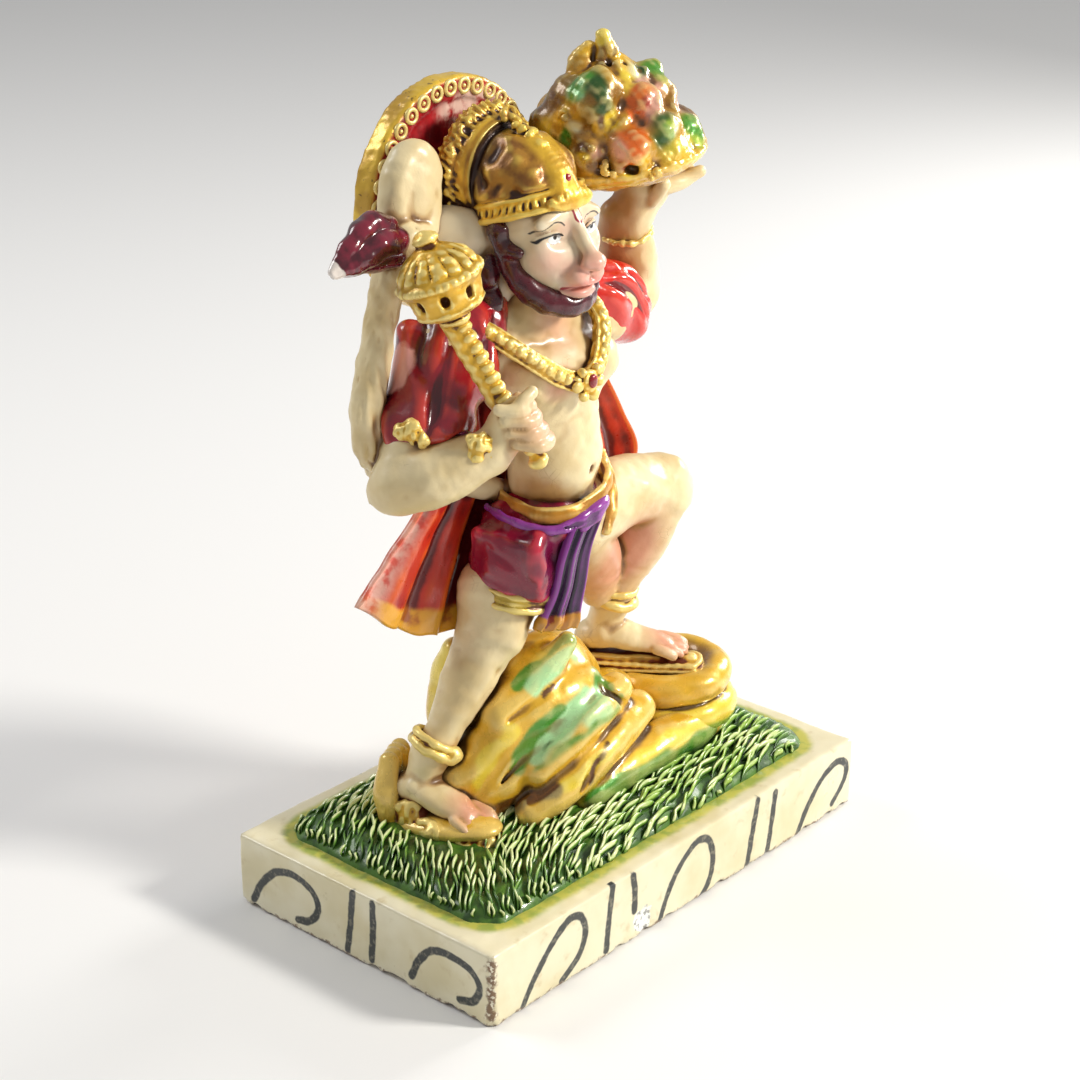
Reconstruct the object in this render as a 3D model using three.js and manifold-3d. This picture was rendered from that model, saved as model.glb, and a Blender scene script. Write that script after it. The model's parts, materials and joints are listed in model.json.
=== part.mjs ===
// A painted cast souvenir figure of Hanuman striding over a rock, a mace in one hand and the
// mountain of herbs held up on the other, on a grassy mound and an oblong plinth.
// Millimetres, +Z up. The origin is the middle of the plinth's underside, and the figure faces -Y.
import * as THREE from "three";
import { mergeVertices } from "three/addons/utils/BufferGeometryUtils.js";
import Module from "manifold-3d";

const wasm = await Module();
wasm.setup();

// Driving sizes of the plinth and the turf on it
const PLINTH_LENGTH = 106;
const PLINTH_WIDTH = 63.5;
const PLINTH_HEIGHT = 14.5;
const PLINTH_CORNER = 1.6;
const PLINTH_EDGE = 0.8;
const TURF_MARGIN = 5.5;
const TURF_RISE = 3.4;
const TURF_TUFT = 0.45;

// Where the limbs and cloths join, facets may be merged within this distance; twice the area of the
// smallest facet that is left
const JOIN_SLACK = 0.18;
const SMALLEST_FACET = 1e-3;

// The figure's own height, from the plinth's top to the mountain's peak. Its pose, its limbs and its
// carving are given in shares of this height: one share is a 144th part of it.
const FIGURE_HEIGHT = 144;
const share = FIGURE_HEIGHT / 144;

const at = (x, y, z) => new THREE.Vector3(x, y, z).multiplyScalar(share);
const UP = new THREE.Vector3(0, 0, 1);
const BACK = new THREE.Vector3(0, 1, 0);

// Joints of the pose
const pose = {
  waist: [0, 0, 62],
  belly: [-0.5, -1, 72],
  ribs: [-4.5, 0, 84],
  neck: [-7, 0.5, 96],
  skull: [-7.2, -1, 112.5],
  hipRight: [-7.5, 0.5, 55],
  kneeRight: [-15, 0.5, 37],
  ankleRight: [-28.3, 6, 15.5],
  hipLeft: [5, 0, 54],
  kneeLeft: [27.5, -1.5, 54],
  ankleLeft: [20.6, 4, 31],
  shoulderRight: [-25.5, 2, 93.5],
  elbowRight: [-39.5, 0, 74],
  wristRight: [-30.5, -11.5, 80],
  fistRight: [-27.2, -14.2, 85],
  shoulderLeft: [13.5, 1.5, 92],
  elbowLeft: [26.8, 5.4, 91],
  wristLeft: [23.8, 3.5, 105.2],
  palmLeft: [25.2, 1.6, 112.4],
};
const tray = { centre: [20, 2, 115], radius: 15.5 };
const coil = { centre: [29.8, -2.8], radius: 9.6, thickness: 3.3, lower: 8.4, upper: 14.3 };

// Turns a closed geometry into a solid
function solid(geometry) {
  geometry.deleteAttribute("normal");
  geometry.deleteAttribute("uv");
  const merged = mergeVertices(geometry, 1e-5);
  return new wasm.Manifold(new wasm.Mesh({
    numProp: 3,
    vertProperties: new Float32Array(merged.attributes.position.array),
    triVerts: new Uint32Array(merged.index.array),
  }));
}

const fuse = (solids) => solids.reduce((whole, piece) => whole.add(piece));

const line = (places) => new THREE.CatmullRomCurve3(places.map((place) => at(...place)));

// Joins leave needle facets behind. This draws short edges together, the cheapest first, as long as
// the surface stays within a small distance of the planes that it had and no facet turns over.
function trimmed(body, slack) {
  const { vertProperties, triVerts } = body.getMesh();
  const triples = (list) => Array.from({ length: list.length / 3 },
    (_, i) => [...list.slice(3 * i, 3 * i + 3)]);
  const spots = triples(vertProperties).map((place) => new THREE.Vector3(...place));
  const faces = triples(triVerts);
  const around = spots.map(() => new Set());
  const planes = spots.map(() => []);
  const normalOf = (face, moved, spot) => {
    const [a, b, c] = face.map((v) => (moved.includes(v) ? spot : spots[v]));
    return b.clone().sub(a).cross(c.clone().sub(a));
  };
  faces.forEach((face, f) => {
    const normal = normalOf(face, [], null).normalize();
    const plane = new THREE.Plane().setFromNormalAndCoplanarPoint(normal, spots[face[0]]);
    face.forEach((v) => {
      around[v].add(f);
      planes[v].push(plane);
    });
  });
  const neighbours = (v) => new Set([...around[v]].flatMap((f) => faces[f]).filter((w) => w !== v));
  const error = (list, spot) => Math.max(...list.map((plane) => Math.abs(plane.distanceToPoint(spot))));
  const best = (a, b) => {
    const list = [...planes[a], ...planes[b]];
    const middle = spots[a].clone().lerp(spots[b], 0.5);
    return [spots[a], spots[b], middle].map((spot) => ({ a, b, spot, cost: error(list, spot) }))
      .reduce((low, next) => (next.cost < low.cost ? next : low));
  };
  const holds = ({ a, b, spot }) => {
    const shared = [...neighbours(a)].filter((v) => neighbours(b).has(v));
    if (shared.length !== 2) return false;
    const both = (face) => face.includes(a) && face.includes(b);
    const kept = [...around[a], ...around[b]].filter((f) => !both(faces[f]));
    return kept.every((f) => {
      const [old, now] = [normalOf(faces[f], [], null), normalOf(faces[f], [a, b], spot)];
      return now.length() > SMALLEST_FACET && old.normalize().dot(now.normalize()) > 0.5;
    });
  };
  for (let changed = true; changed;) {
    changed = false;
    const edges = [];
    spots.forEach((_, a) => neighbours(a).forEach((b) => {
      if (a < b) edges.push(best(a, b));
    }));
    const touched = new Set();
    for (const edge of edges.filter(({ cost }) => cost < slack).sort((one, two) => one.cost - two.cost)) {
      const { a, b, spot } = edge;
      if (touched.has(a) || touched.has(b) || !holds(edge)) continue;
      [a, b, ...neighbours(a), ...neighbours(b)].forEach((v) => touched.add(v));
      for (const f of around[b]) {
        if (faces[f].includes(a)) {
          faces[f].forEach((v) => v !== b && around[v].delete(f));
          faces[f] = [];
        } else {
          faces[f] = faces[f].map((v) => (v === b ? a : v));
          around[a].add(f);
        }
      }
      around[b].clear();
      planes[a].push(...planes[b]);
      spots[a] = spot.clone();
      changed = true;
    }
  }
  return solid(fromPoints(spots, faces.flat()));
}

function meshOf(body, name, look) {
  const { vertProperties, triVerts } = body.getMesh();
  const geometry = new THREE.BufferGeometry();
  geometry.setAttribute("position", new THREE.BufferAttribute(new Float32Array(vertProperties), 3));
  geometry.setIndex(new THREE.BufferAttribute(new Uint32Array(triVerts), 1));
  geometry.computeVertexNormals();
  const mesh = new THREE.Mesh(geometry, new THREE.MeshStandardMaterial(look));
  mesh.name = name;
  return mesh;
}

// A round bar through stations of x, y, z and radius, in shares, with rounded ends, or plain
// pointed ones where they are buried. wide stretches its section along the direction broad.
function bar(stations, { sides = 7, steps = 1, wide = 1, broad = [1, 0, 0], blunt = false } = {}) {
  const places = stations.map(([x, y, z]) => at(x, y, z));
  const curve = new THREE.CatmullRomCurve3(places, false, "centripetal");
  const count = (stations.length - 1) * steps;
  const side = new THREE.Vector3(...broad).normalize();
  const rings = [];
  for (let i = 0; i <= count; i += 1) {
    const t = i / count;
    const station = Math.min(Math.floor(t * (stations.length - 1)), stations.length - 2);
    const blend = t * (stations.length - 1) - station;
    const radius = THREE.MathUtils.lerp(stations[station][3], stations[station + 1][3], blend) * share;
    rings.push({ centre: curve.getPoint(t), along: curve.getTangent(t), radius });
  }
  const shoulder = Math.PI / 3.4;
  const cap = (ring, sign) => (blunt ? [] : [{
    centre: ring.centre.clone().addScaledVector(ring.along, sign * ring.radius * Math.sin(shoulder)),
    along: ring.along,
    radius: ring.radius * Math.cos(shoulder),
  }]);
  const all = [...cap(rings[0], -1), ...rings, ...cap(rings[count], 1)];
  const points = [];
  let normal = side.clone();
  for (const ring of all) {
    normal = normal.clone().addScaledVector(ring.along, -normal.dot(ring.along)).normalize();
    const binormal = ring.along.clone().cross(normal);
    for (let j = 0; j < sides; j += 1) {
      const angle = (2 * Math.PI * j) / sides;
      points.push(ring.centre.clone()
        .addScaledVector(normal, wide * ring.radius * Math.cos(angle))
        .addScaledVector(binormal, ring.radius * Math.sin(angle)));
    }
  }
  const first = points.length;
  points.push(rings[0].centre.clone().addScaledVector(rings[0].along, -rings[0].radius));
  points.push(rings[count].centre.clone().addScaledVector(rings[count].along, rings[count].radius));
  const faces = [];
  for (let i = 0; i + 1 < all.length; i += 1) {
    for (let j = 0; j < sides; j += 1) {
      const a = i * sides + j;
      const b = i * sides + (j + 1) % sides;
      faces.push(a, b, b + sides, a, b + sides, a + sides);
    }
  }
  const last = (all.length - 1) * sides;
  for (let j = 0; j < sides; j += 1) {
    faces.push(first, (j + 1) % sides, j, first + 1, last + j, last + (j + 1) % sides);
  }
  return solid(fromPoints(points, faces));
}

function fromPoints(points, faces) {
  const geometry = new THREE.BufferGeometry().setFromPoints(points);
  geometry.setIndex(faces);
  return geometry;
}

// A rounded lump: a ball stretched to three radii, turned about X, Y and Z in degrees
function lump(centre, radii, { turn = [0, 0, 0], across = 8, down = 5 } = {}) {
  const geometry = new THREE.SphereGeometry(1, across, down);
  geometry.rotateX(Math.PI / 2);
  geometry.scale(...radii.map((radius) => radius * share));
  const euler = new THREE.Euler(...turn.map(THREE.MathUtils.degToRad));
  geometry.applyQuaternion(new THREE.Quaternion().setFromEuler(euler));
  return solid(geometry.translate(...at(...centre)));
}

// A hoop of round section about an axis
function hoop(centre, radius, thickness, axis, { around = 10, sides = 4 } = {}) {
  const geometry = new THREE.TorusGeometry(radius * share, thickness * share, sides, around);
  const turn = new THREE.Quaternion().setFromUnitVectors(UP, new THREE.Vector3(...axis).normalize());
  return solid(geometry.applyQuaternion(turn).translate(...at(...centre)));
}

// A turned form: a profile of radius and height, spun about an axis, with shallow flutes if asked for
function turned(foot, axis, profile, { sides = 16, flutes = 0, depth = 0, from = 0, to = 0 } = {}) {
  const outline = profile.map(([radius, height]) => new THREE.Vector2(radius * share, height * share));
  const geometry = new THREE.LatheGeometry(outline, sides);
  const place = geometry.attributes.position;
  for (let i = 0; i < place.count; i += 1) {
    const height = place.getY(i) / share;
    const angle = Math.atan2(place.getX(i), place.getZ(i));
    const inside = height > from && height < to ? 1 : 0;
    const swell = 1 + inside * depth * Math.cos(flutes * angle);
    place.setX(i, place.getX(i) * swell);
    place.setZ(i, place.getZ(i) * swell);
  }
  geometry.rotateX(Math.PI / 2);
  const turn = new THREE.Quaternion().setFromUnitVectors(UP, new THREE.Vector3(...axis).normalize());
  return solid(geometry.applyQuaternion(turn).translate(...at(...foot)));
}

// A closed sheet between a front and a back surface, each a function of u and v from 0 to 1
function between(front, back, across, down) {
  const points = [];
  for (const surface of [front, back]) {
    for (let j = 0; j <= down; j += 1) {
      for (let i = 0; i <= across; i += 1) {
        points.push(surface(i / across, j / down));
      }
    }
  }
  const row = across + 1;
  const layer = row * (down + 1);
  const faces = [];
  for (let j = 0; j < down; j += 1) {
    for (let i = 0; i < across; i += 1) {
      const a = j * row + i;
      const [b, c, d] = [a + 1, a + row + 1, a + row];
      faces.push(a, b, c, a, c, d);
      faces.push(a + layer, c + layer, b + layer, a + layer, d + layer, c + layer);
    }
  }
  const rim = [];
  for (let i = 0; i < across; i += 1) rim.push(i);
  for (let j = 0; j < down; j += 1) rim.push(j * row + across);
  for (let i = across; i > 0; i -= 1) rim.push(down * row + i);
  for (let j = down; j > 0; j -= 1) rim.push(j * row);
  rim.forEach((a, k) => {
    const b = rim[(k + 1) % rim.length];
    faces.push(a, a + layer, b + layer, a, b + layer, b);
  });
  return solid(fromPoints(points, faces));
}

// Plinth: an oblong slab with its corners and edges slightly rounded
function plinth() {
  const x = PLINTH_LENGTH / 2 - PLINTH_EDGE;
  const y = PLINTH_WIDTH / 2 - PLINTH_EDGE;
  const corner = PLINTH_CORNER;
  const outline = new THREE.Shape();
  outline.moveTo(-x + corner, -y);
  outline.lineTo(x - corner, -y);
  outline.absarc(x - corner, -y + corner, corner, -Math.PI / 2, 0);
  outline.lineTo(x, y - corner);
  outline.absarc(x - corner, y - corner, corner, 0, Math.PI / 2);
  outline.lineTo(-x + corner, y);
  outline.absarc(-x + corner, y - corner, corner, Math.PI / 2, Math.PI);
  outline.lineTo(-x, -y + corner);
  outline.absarc(-x + corner, -y + corner, corner, Math.PI, 1.5 * Math.PI);
  const slab = new THREE.ExtrudeGeometry(outline, {
    depth: PLINTH_HEIGHT - 2 * PLINTH_EDGE,
    curveSegments: 3,
    bevelThickness: PLINTH_EDGE,
    bevelSize: PLINTH_EDGE,
    bevelSegments: 2,
  });
  return solid(slab.translate(0, 0, PLINTH_EDGE));
}

// Turf: a low pillow with rounded corners, its top combed into slanting tufts. Its skirt runs on
// below the plinth's top, where the whole casting is cut flat.
function turf() {
  const halfLength = PLINTH_LENGTH / 2 - TURF_MARGIN;
  const halfWidth = PLINTH_WIDTH / 2 - TURF_MARGIN;
  const [across, down] = [28, 10];
  const rounding = 0.16;
  const spot = (u, v) => {
    const [s, t] = [2 * u - 1, 2 * v - 1];
    const round = (w) => Math.sqrt(1 - rounding * w ** 8);
    return [halfLength * s * round(t), halfWidth * t * round(s)];
  };
  const top = (u, v) => {
    const [x, y] = spot(u, v);
    const edge = u === 0 || u === 1 || v === 0 || v === 1;
    const tuft = TURF_TUFT * ((Math.round(u * across + (v * down) / 2) % 2) * 2 - 1);
    return new THREE.Vector3(x, y, TURF_RISE * (edge ? 0.45 : 0.95) + tuft);
  };
  const under = (u, v) => new THREE.Vector3(...spot(u, v), -TURF_RISE);
  return between(top, under, across, down);
}

// Rock: a ridge along the plinth that falls to the right foot, with ribs on its front
function rock() {
  const ribs = [
    [[-3.6, -5.5, 33, 1.8], [-9, -3.5, 28, 3.2], [-17, -1, 22, 3.8]],
    [[0, -6, 23, 4.2], [-8, -4.6, 22.4, 4.8], [-15.5, -1.6, 19.5, 4.8], [-23.5, 2, 10, 4]],
    [[-4, -7, 15, 5], [-13, -4, 13.5, 5.4], [-22, 0, 5, 4.4]],
    [[6, -9, 20.6, 3.4], [-2, -10.5, 19.6, 3.8], [-8, -10, 16.4, 3.8], [-14.5, -8.4, 11.6, 3]],
    [[12, -9.5, 15, 3.6], [0, -12, 12.6, 3.8], [-9, -11.5, 9, 3.8], [-17, -9, 4.6, 3.2]],
    [[39, -8, 4, 3], [28, -11.5, 6, 4.2], [14, -12.4, 7, 4.4], [-4, -11.6, 4.4, 4]],
    [[16, 8, 15, 4.5], [2, 8, 24, 5], [-10, 8.5, 27, 5], [-16.4, 10, 27, 4.4]],
    [[-17, 10, 31, 2.8], [-18, 11, 23, 3.8], [-16.6, 11, 12, 4.8]],
  ];
  return fuse([
    ...ribs.map((rib) => bar(rib, { sides: 6 })),
    lump([-3, 1, 14], [16, 9.5, 19], { turn: [0, -8, 4] }),
    lump([-13.5, 4, 8], [13, 8.5, 12.5], { turn: [0, -24, 0] }),
    lump([13, 2, 9], [13, 10, 9.5]),
    lump([20, 8.5, 11.4], [7.5, 6.5, 7.6]),
    lump([-30.5, 14.4, 6.8], [5.2, 5.8, 7.4], { turn: [0, 0, 30] }),
    lump([-28.5, 3, 3.4], [6.6, 12.8, 2.6], { turn: [-6, 0, 8] }),
  ]);
}

// The two stacked rings that carry the raised foot, on a round stub of rock
function footring() {
  const [x, y] = coil.centre;
  const { radius, thickness, lower, upper } = coil;
  const shape = { around: 15, sides: 6 };
  const stub = [[0, 1], [radius + 1.6, 1], [radius, upper + 1.2], [0, upper + 1.2]];
  return fuse([
    turned([x, y, 0], [0, 0, 1], stub, { sides: 11 }),
    hoop([x + 0.5, y - 0.2, lower], radius + 0.4, thickness, [0.03, 0, 1], shape),
    hoop([x, y, upper], radius, thickness, [-0.04, 0.03, 1], shape),
  ]);
}

// A foot on its sandal: heel, instep and five toes, from the heel's end towards the toes
function foot(heel, toe, ankle, sandal) {
  const [h, t] = [new THREE.Vector3(...heel), new THREE.Vector3(...toe)];
  const length = t.clone().sub(h).length();
  const along = t.clone().sub(h).normalize();
  const across = along.clone().cross(UP).normalize();
  const spot = (forward, aside, lift) => h.clone().addScaledVector(along, forward)
    .addScaledVector(across, aside).addScaledVector(UP, lift).toArray();
  const broad = across.toArray();
  const toes = [-2, -1, 0, 1, 2].map((k) => bar([
    [...spot(length - 4.4 - 0.25 * k * k, k * 1.4, 1.9), 1.2],
    [...spot(length - 0.8 - 0.3 * k * k - 0.25 * k, k * 1.5, 1), 1],
  ], { sides: 4, blunt: true }));
  return fuse([
    bar([[...ankle, 3.4], [...spot(4, 0, 3.4), 3.2]], { sides: 6, blunt: true }),
    bar([[...spot(2.6, 0, 2.6), 2.8], [...spot(7, 0, 3.2), 3], [...spot(length - 4.2, 0, 2), 2]],
      { wide: 1.35, broad }),
    bar([[...spot(2.4, 0, -sandal / 2), sandal], [...spot(length - 2, 0, -sandal / 2), sandal]],
      { wide: 4.2 / sandal, broad }),
    ...toes,
  ]);
}

function legs() {
  const { hipRight, kneeRight, ankleRight, hipLeft, kneeLeft, ankleLeft } = pose;
  return fuse([
    bar([
      [...hipRight, 7.8], [-11, 0.8, 46, 6.4], [...kneeRight, 5.4],
      [-19, 2.4, 29, 5.3], [-24, 4.2, 21.5, 4.1], [...ankleRight, 3.5],
    ], { sides: 9, blunt: true }),
    hoop([-27.6, 5.8, 16.6], 3.6, 1.1, [13, -6, 22]),
    foot([-30, 11.5, 6.4], [-27.6, -8, 3.4], ankleRight, 1.5),
    bar([[...hipLeft, 7.6], [15, -0.5, 55.4, 7], [...kneeLeft, 6.2]], { sides: 9 }),
    bar([
      [26.4, -2, 52, 5.8], [24, 0.4, 43, 5.6], [21.6, 3, 36, 4.4], [...ankleLeft, 3.8],
    ], { sides: 9, blunt: true }),
    bar([[8, 1, 50, 6], [13.5, 3, 42, 5.4], [17, 4.5, 34, 3.6]], { blunt: true }),
    hoop([20.6, 3.6, 31.8], 4.1, 1.2, [6, -5, 22]),
    foot([17.6, 9.2, 20.4], [29.6, -8, 19.2], ankleLeft, 1.6),
  ]);
}

// Shorts with a hem on the right thigh, the belt, and the sash that hangs from it in pleats
function loincloth() {
  const left = line([[-7.2, -8.9, 58.5], [-7.6, -9, 52], [-9.8, -7.6, 45], [-12.2, -5.4, 39.2]]);
  const right = line([[4.6, -8.2, 57.6], [3.2, -8.6, 51], [0.8, -8.2, 43], [-2, -7, 36.2]]);
  const pleat = (u, v, behind) => {
    const fold = 0.8 * Math.cos(u * Math.PI * 6);
    return left.getPoint(v).lerp(right.getPoint(v), u).add(at(0, fold + behind, 0));
  };
  const knot = [
    [-12.4, 1.6, 58.9, 1.7], [-11.2, -3.8, 58.7, 1.8], [-7.6, -7.6, 58.8, 1.8],
    [-2.6, -9.6, 59.4, 1.8], [1.8, -9.9, 60.4, 1.7], [5.6, -8.8, 61.6, 1.4], [8.8, -6, 63, 0.9],
  ];
  return fuse([
    bar([[-2.6, 1, 55, 9.5], [-9.4, 0.8, 51, 9.5], [-11.4, 0.8, 45.4, 7.8]], { sides: 9 }),
    lump([-2.6, 0.6, 57.4], [10.6, 10, 4.4], { across: 10 }),
    hoop([-12.2, 0.8, 43], 6.4, 1.2, [-3.5, 0, 9]),
    hoop([-13, 0.8, 40.8], 5.9, 1, [-3.5, 0, 9]),
    bar([[-1, 1, 56, 9.5], [11, 0, 55.4, 8]], { sides: 9 }),
    hoop([-0.3, 0.2, 61.4], 8.9, 1.3, [0.12, -0.1, 1], { around: 13 }),
    bar(knot, { sides: 6, blunt: true }),
    between((u, v) => pleat(u, 1 - v, 0), (u, v) => pleat(u, 1 - v, 2.4), 12, 3),
  ]);
}

function torso() {
  const { waist, belly, ribs, neck } = pose;
  return fuse([
    bar([[...waist, 8], [...belly, 8.2], [...ribs, 9.6]], { sides: 10, wide: 1.14, blunt: true }),
    lump([-4, 0.5, 86], [14.8, 8.6, 9.6], { turn: [0, 6, 0], across: 10, down: 6 }),
    lump([-10.5, -5, 86.5], [6.8, 4, 4.8], { turn: [0, 8, 0] }),
    lump([2.4, -5.2, 85], [6.8, 4, 4.8], { turn: [0, 4, 0] }),
    bar([[-4.5, 1, 92, 6.4], [...neck, 5.6], [-7.2, 0, 103, 5.2]], { blunt: true }),
    bar([[-22, 2, 93.5, 5.6], [-5, 1.5, 95, 5.6], [12, 1.8, 92.5, 5.4]], { blunt: true }),
  ]);
}

// Bead chain on the chest with its pendant
function necklace() {
  const chain = [
    [-20.5, -4, 97.6, 1.3], [-16.4, -7.6, 91, 1.4], [-11, -9.6, 86, 1.5], [-5.6, -10.2, 84, 1.6],
    [-1, -10, 86, 1.5], [2.8, -8.4, 91, 1.4], [3.6, -5, 96, 1.3],
  ];
  return fuse([
    bar(chain, { sides: 5, blunt: true }),
    lump([-5.4, -10.6, 83], [2.6, 1.4, 2.4], { across: 7, down: 4 }),
  ]);
}

function arms() {
  const { shoulderRight, elbowRight, wristRight, fistRight } = pose;
  const { shoulderLeft, elbowLeft, wristLeft, palmLeft } = pose;
  const finger = { sides: 5, blunt: true };
  const [fx, fy, fz] = fistRight;
  const knuckles = (k) => [fx + 0.7 * k, fy - 0.8 * k, fz - 2 * k];
  const fingers = [-1.5, -0.5, 0.5, 1.5].map(knuckles).map(([x, y, z]) => bar([
    [x - 3.4, y - 0.6, z + 0.4, 1.1], [x - 1, y - 3.4, z, 1.3], [x + 3, y - 2.4, z - 0.2, 1.2],
  ], finger));
  const [px, py, pz] = palmLeft;
  const spread = [-1.5, -0.5, 0.5, 1.5].map((k) => bar([
    [px + 1 + k, py + 2 * k, pz, 1.7], [px + 7.4, py - 3 + 2.6 * k, pz + 2.2, 1.5],
  ], finger));
  return fuse([
    bar([[...shoulderRight, 6.6], [-33, 1, 83.5, 6], [...elbowRight, 5.4]]),
    bar([[...elbowRight, 5.6], [-36.5, -5.5, 76.5, 5.4], [...wristRight, 3.6]], { sides: 8 }),
    hoop([-31.6, -10.2, 79.2], 3.8, 1.1, [6, -6, 4]),
    hoop([-37, 0.6, 78.2], 5.4, 0.9, [-10, 0, -11]),
    lump(fistRight, [4.2, 3.8, 5], { turn: [20, -18, 0] }),
    ...fingers,
    bar([[...shoulderLeft, 6.6], [20.5, 4, 90.6, 5.8], [...elbowLeft, 5]]),
    bar([[...elbowLeft, 5.1], [26, 5, 97.6, 5], [...wristLeft, 3.8]], { sides: 8 }),
    hoop([24, 3.6, 104], 3.7, 0.8, [-3, -2, 14]),
    bar([[...wristLeft, 3.7], [...palmLeft, 4.8]], { wide: 1.2 }),
    ...spread,
  ]);
}

// Head: a monkey's face with a long muzzle, a beard from ear to ear and locks of hair, and the
// smooth mass behind the right cheek that joins it to the tail and the halo
function head() {
  const [x, y, z] = pose.skull;
  const small = { across: 6, down: 4 };
  const cheek = (side) => lump([x + side * 5, y - 6.2, z - 3], [3.2, 3, 3.6], small);
  const puff = (side) => lump([x + side * 1.9, y - 11.8, z - 6.4], [2.4, 2.5, 2], small);
  const eyebrow = (side) => bar([
    [x + side * 1.6, y - 8, z + 3.2, 0.9], [x + side * 7, y - 6.2, z + 2.8, 1],
  ], { sides: 4, blunt: true });
  const lock = (side) => bar([
    [x + side * 10.2, y + 1, z - 4.2, 1.4], [x + side * 11, y + 1.2, z - 7, 2.1],
    [x + side * 10.2, y + 1, z - 9.4, 1.6], [x + side * 10.9, y + 0.8, z - 12, 2.3],
    [x + side * 10.6, y + 0.6, z - 15.2, 1.2],
  ], { sides: 5, blunt: true });
  const half = [
    [9.4, -0.4, 0.4, 2.2], [9, -1.7, -2.8, 2.2], [8.5, -3.4, -6.4, 2.6],
    [6.8, -5.8, -9.8, 2.9], [3.6, -8, -12, 2.8],
  ];
  const beardSide = (side) => half.map(([a, b, c, r]) => [x + side * a, y + b, z + c, r]);
  return fuse([
    lump([x, y, z + 0.6], [9.6, 9.4, 10.5], { across: 10, down: 6 }),
    lump([x, y - 2.2, z - 5.4], [8.3, 7.9, 7.5]),
    lump([x, y - 6.8, z - 6], [5.7, 5.3, 5.1]),
    lump([-19.6, 7.4, 111.2], [8.1, 4.3, 5.5], { turn: [0, 0, -48] }),
    bar([[x, y - 8.6, z + 3.2, 1.1], [x, y - 13, z - 3.4, 1.5]], { sides: 5, blunt: true }),
    lump([x, y - 13.2, z - 4.4], [2.4, 1.9, 1.6], small),
    lump([x, y - 12, z - 8], [3.4, 1.8, 0.9], small),
    lump([x, y - 11.2, z - 10], [2.6, 1.8, 1], small),
    bar([...beardSide(-1), [x, y - 8.8, z - 12.6, 2.6], ...beardSide(1).reverse()], { sides: 6 }),
    ...[-1, 1].flatMap((side) => [cheek(side), puff(side), eyebrow(side), lock(side)]),
  ]);
}

// Crown: a folded cap on a toothed band, its front plate, and the rolled collar that it fans out of
function crown() {
  const foot = [-7.8, -0.4, 115];
  const axis = new THREE.Vector3(-0.02, 0.3, 1).normalize();
  const across = axis.clone().cross(BACK).normalize();
  const onward = axis.clone().cross(across).normalize();
  const band = [[0, -0.4], [9.8, -0.4], [10.4, 0.5], [10.2, 2.6], [9.4, 3.2], [0, 3.2]];
  const bandRadius = 10.2;
  const teeth = Array.from({ length: 12 }, (_, k) => {
    const angle = (2 * Math.PI * (k + 0.5)) / 12;
    const spot = new THREE.Vector3(...foot).addScaledVector(axis, 1.5)
      .addScaledVector(across, bandRadius * Math.cos(angle))
      .addScaledVector(onward, bandRadius * Math.sin(angle));
    return lump(spot.toArray(), [0.8, 0.8, 1.1], { across: 4, down: 3 });
  });
  const plate = [[-7.3, -8.6, 119.2, 2.5], [-7.5, -7.6, 122.6, 2.2], [-7.8, -3.4, 127.6, 0.9]];
  const ridge = [[-7.7, -5.6, 126.6, 1.1], [-7.9, 0.4, 129.8, 1.3], [-8.2, 4.6, 131.2, 1.2]];
  const collar = [
    [0, -0.2], [10.7, -0.2], [11.6, 1], [11.4, 2.6], [10.1, 3.6], [9.8, 5.2], [8.8, 6], [0, 6],
  ];
  return fuse([
    lump([-7.8, 0.4, 119.2], [9.5, 10.5, 9.6], { across: 10, down: 6 }),
    turned(foot, axis.toArray(), band, { sides: 16 }),
    ...teeth,
    bar(plate, { sides: 6, wide: 1.5 }),
    bar(ridge, { sides: 5, blunt: true }),
    turned([-8.9, 10.2, 120.8], [0, -1, 0], collar, { sides: 16 }),
  ]);
}

// Halo: a thick disc behind the crown, with a row of ring rosettes round its face
function halo() {
  const centre = [-10.8, 19, 115.4];
  const [radius, thickness] = [20.8, 5];
  const profile = [
    [0, 0], [radius - 0.8, 0], [radius, 0.9], [radius, thickness], [radius - 4.4, thickness],
    [radius - 4.8, thickness - 0.8], [0, thickness - 0.8],
  ];
  const rosettes = Array.from({ length: 11 }, (_, k) => {
    const angle = THREE.MathUtils.degToRad(-14 + (208 * k) / 10);
    const [across, up] = [(radius - 2.3) * Math.cos(angle), (radius - 2.3) * Math.sin(angle)];
    const place = [centre[0] + across, centre[1] - thickness, centre[2] + up];
    return hoop(place, 1.35, 0.5, [0, -1, 0], { around: 6, sides: 3 });
  });
  const stem = bar([[-9, 8, 100, 7], [-10, 16, 103, 6], [-10, 17, 112, 5]], { sides: 6, blunt: true });
  return fuse([turned(centre, [0, -1, 0], profile, { sides: 24 }), ...rosettes, stem]);
}

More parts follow.
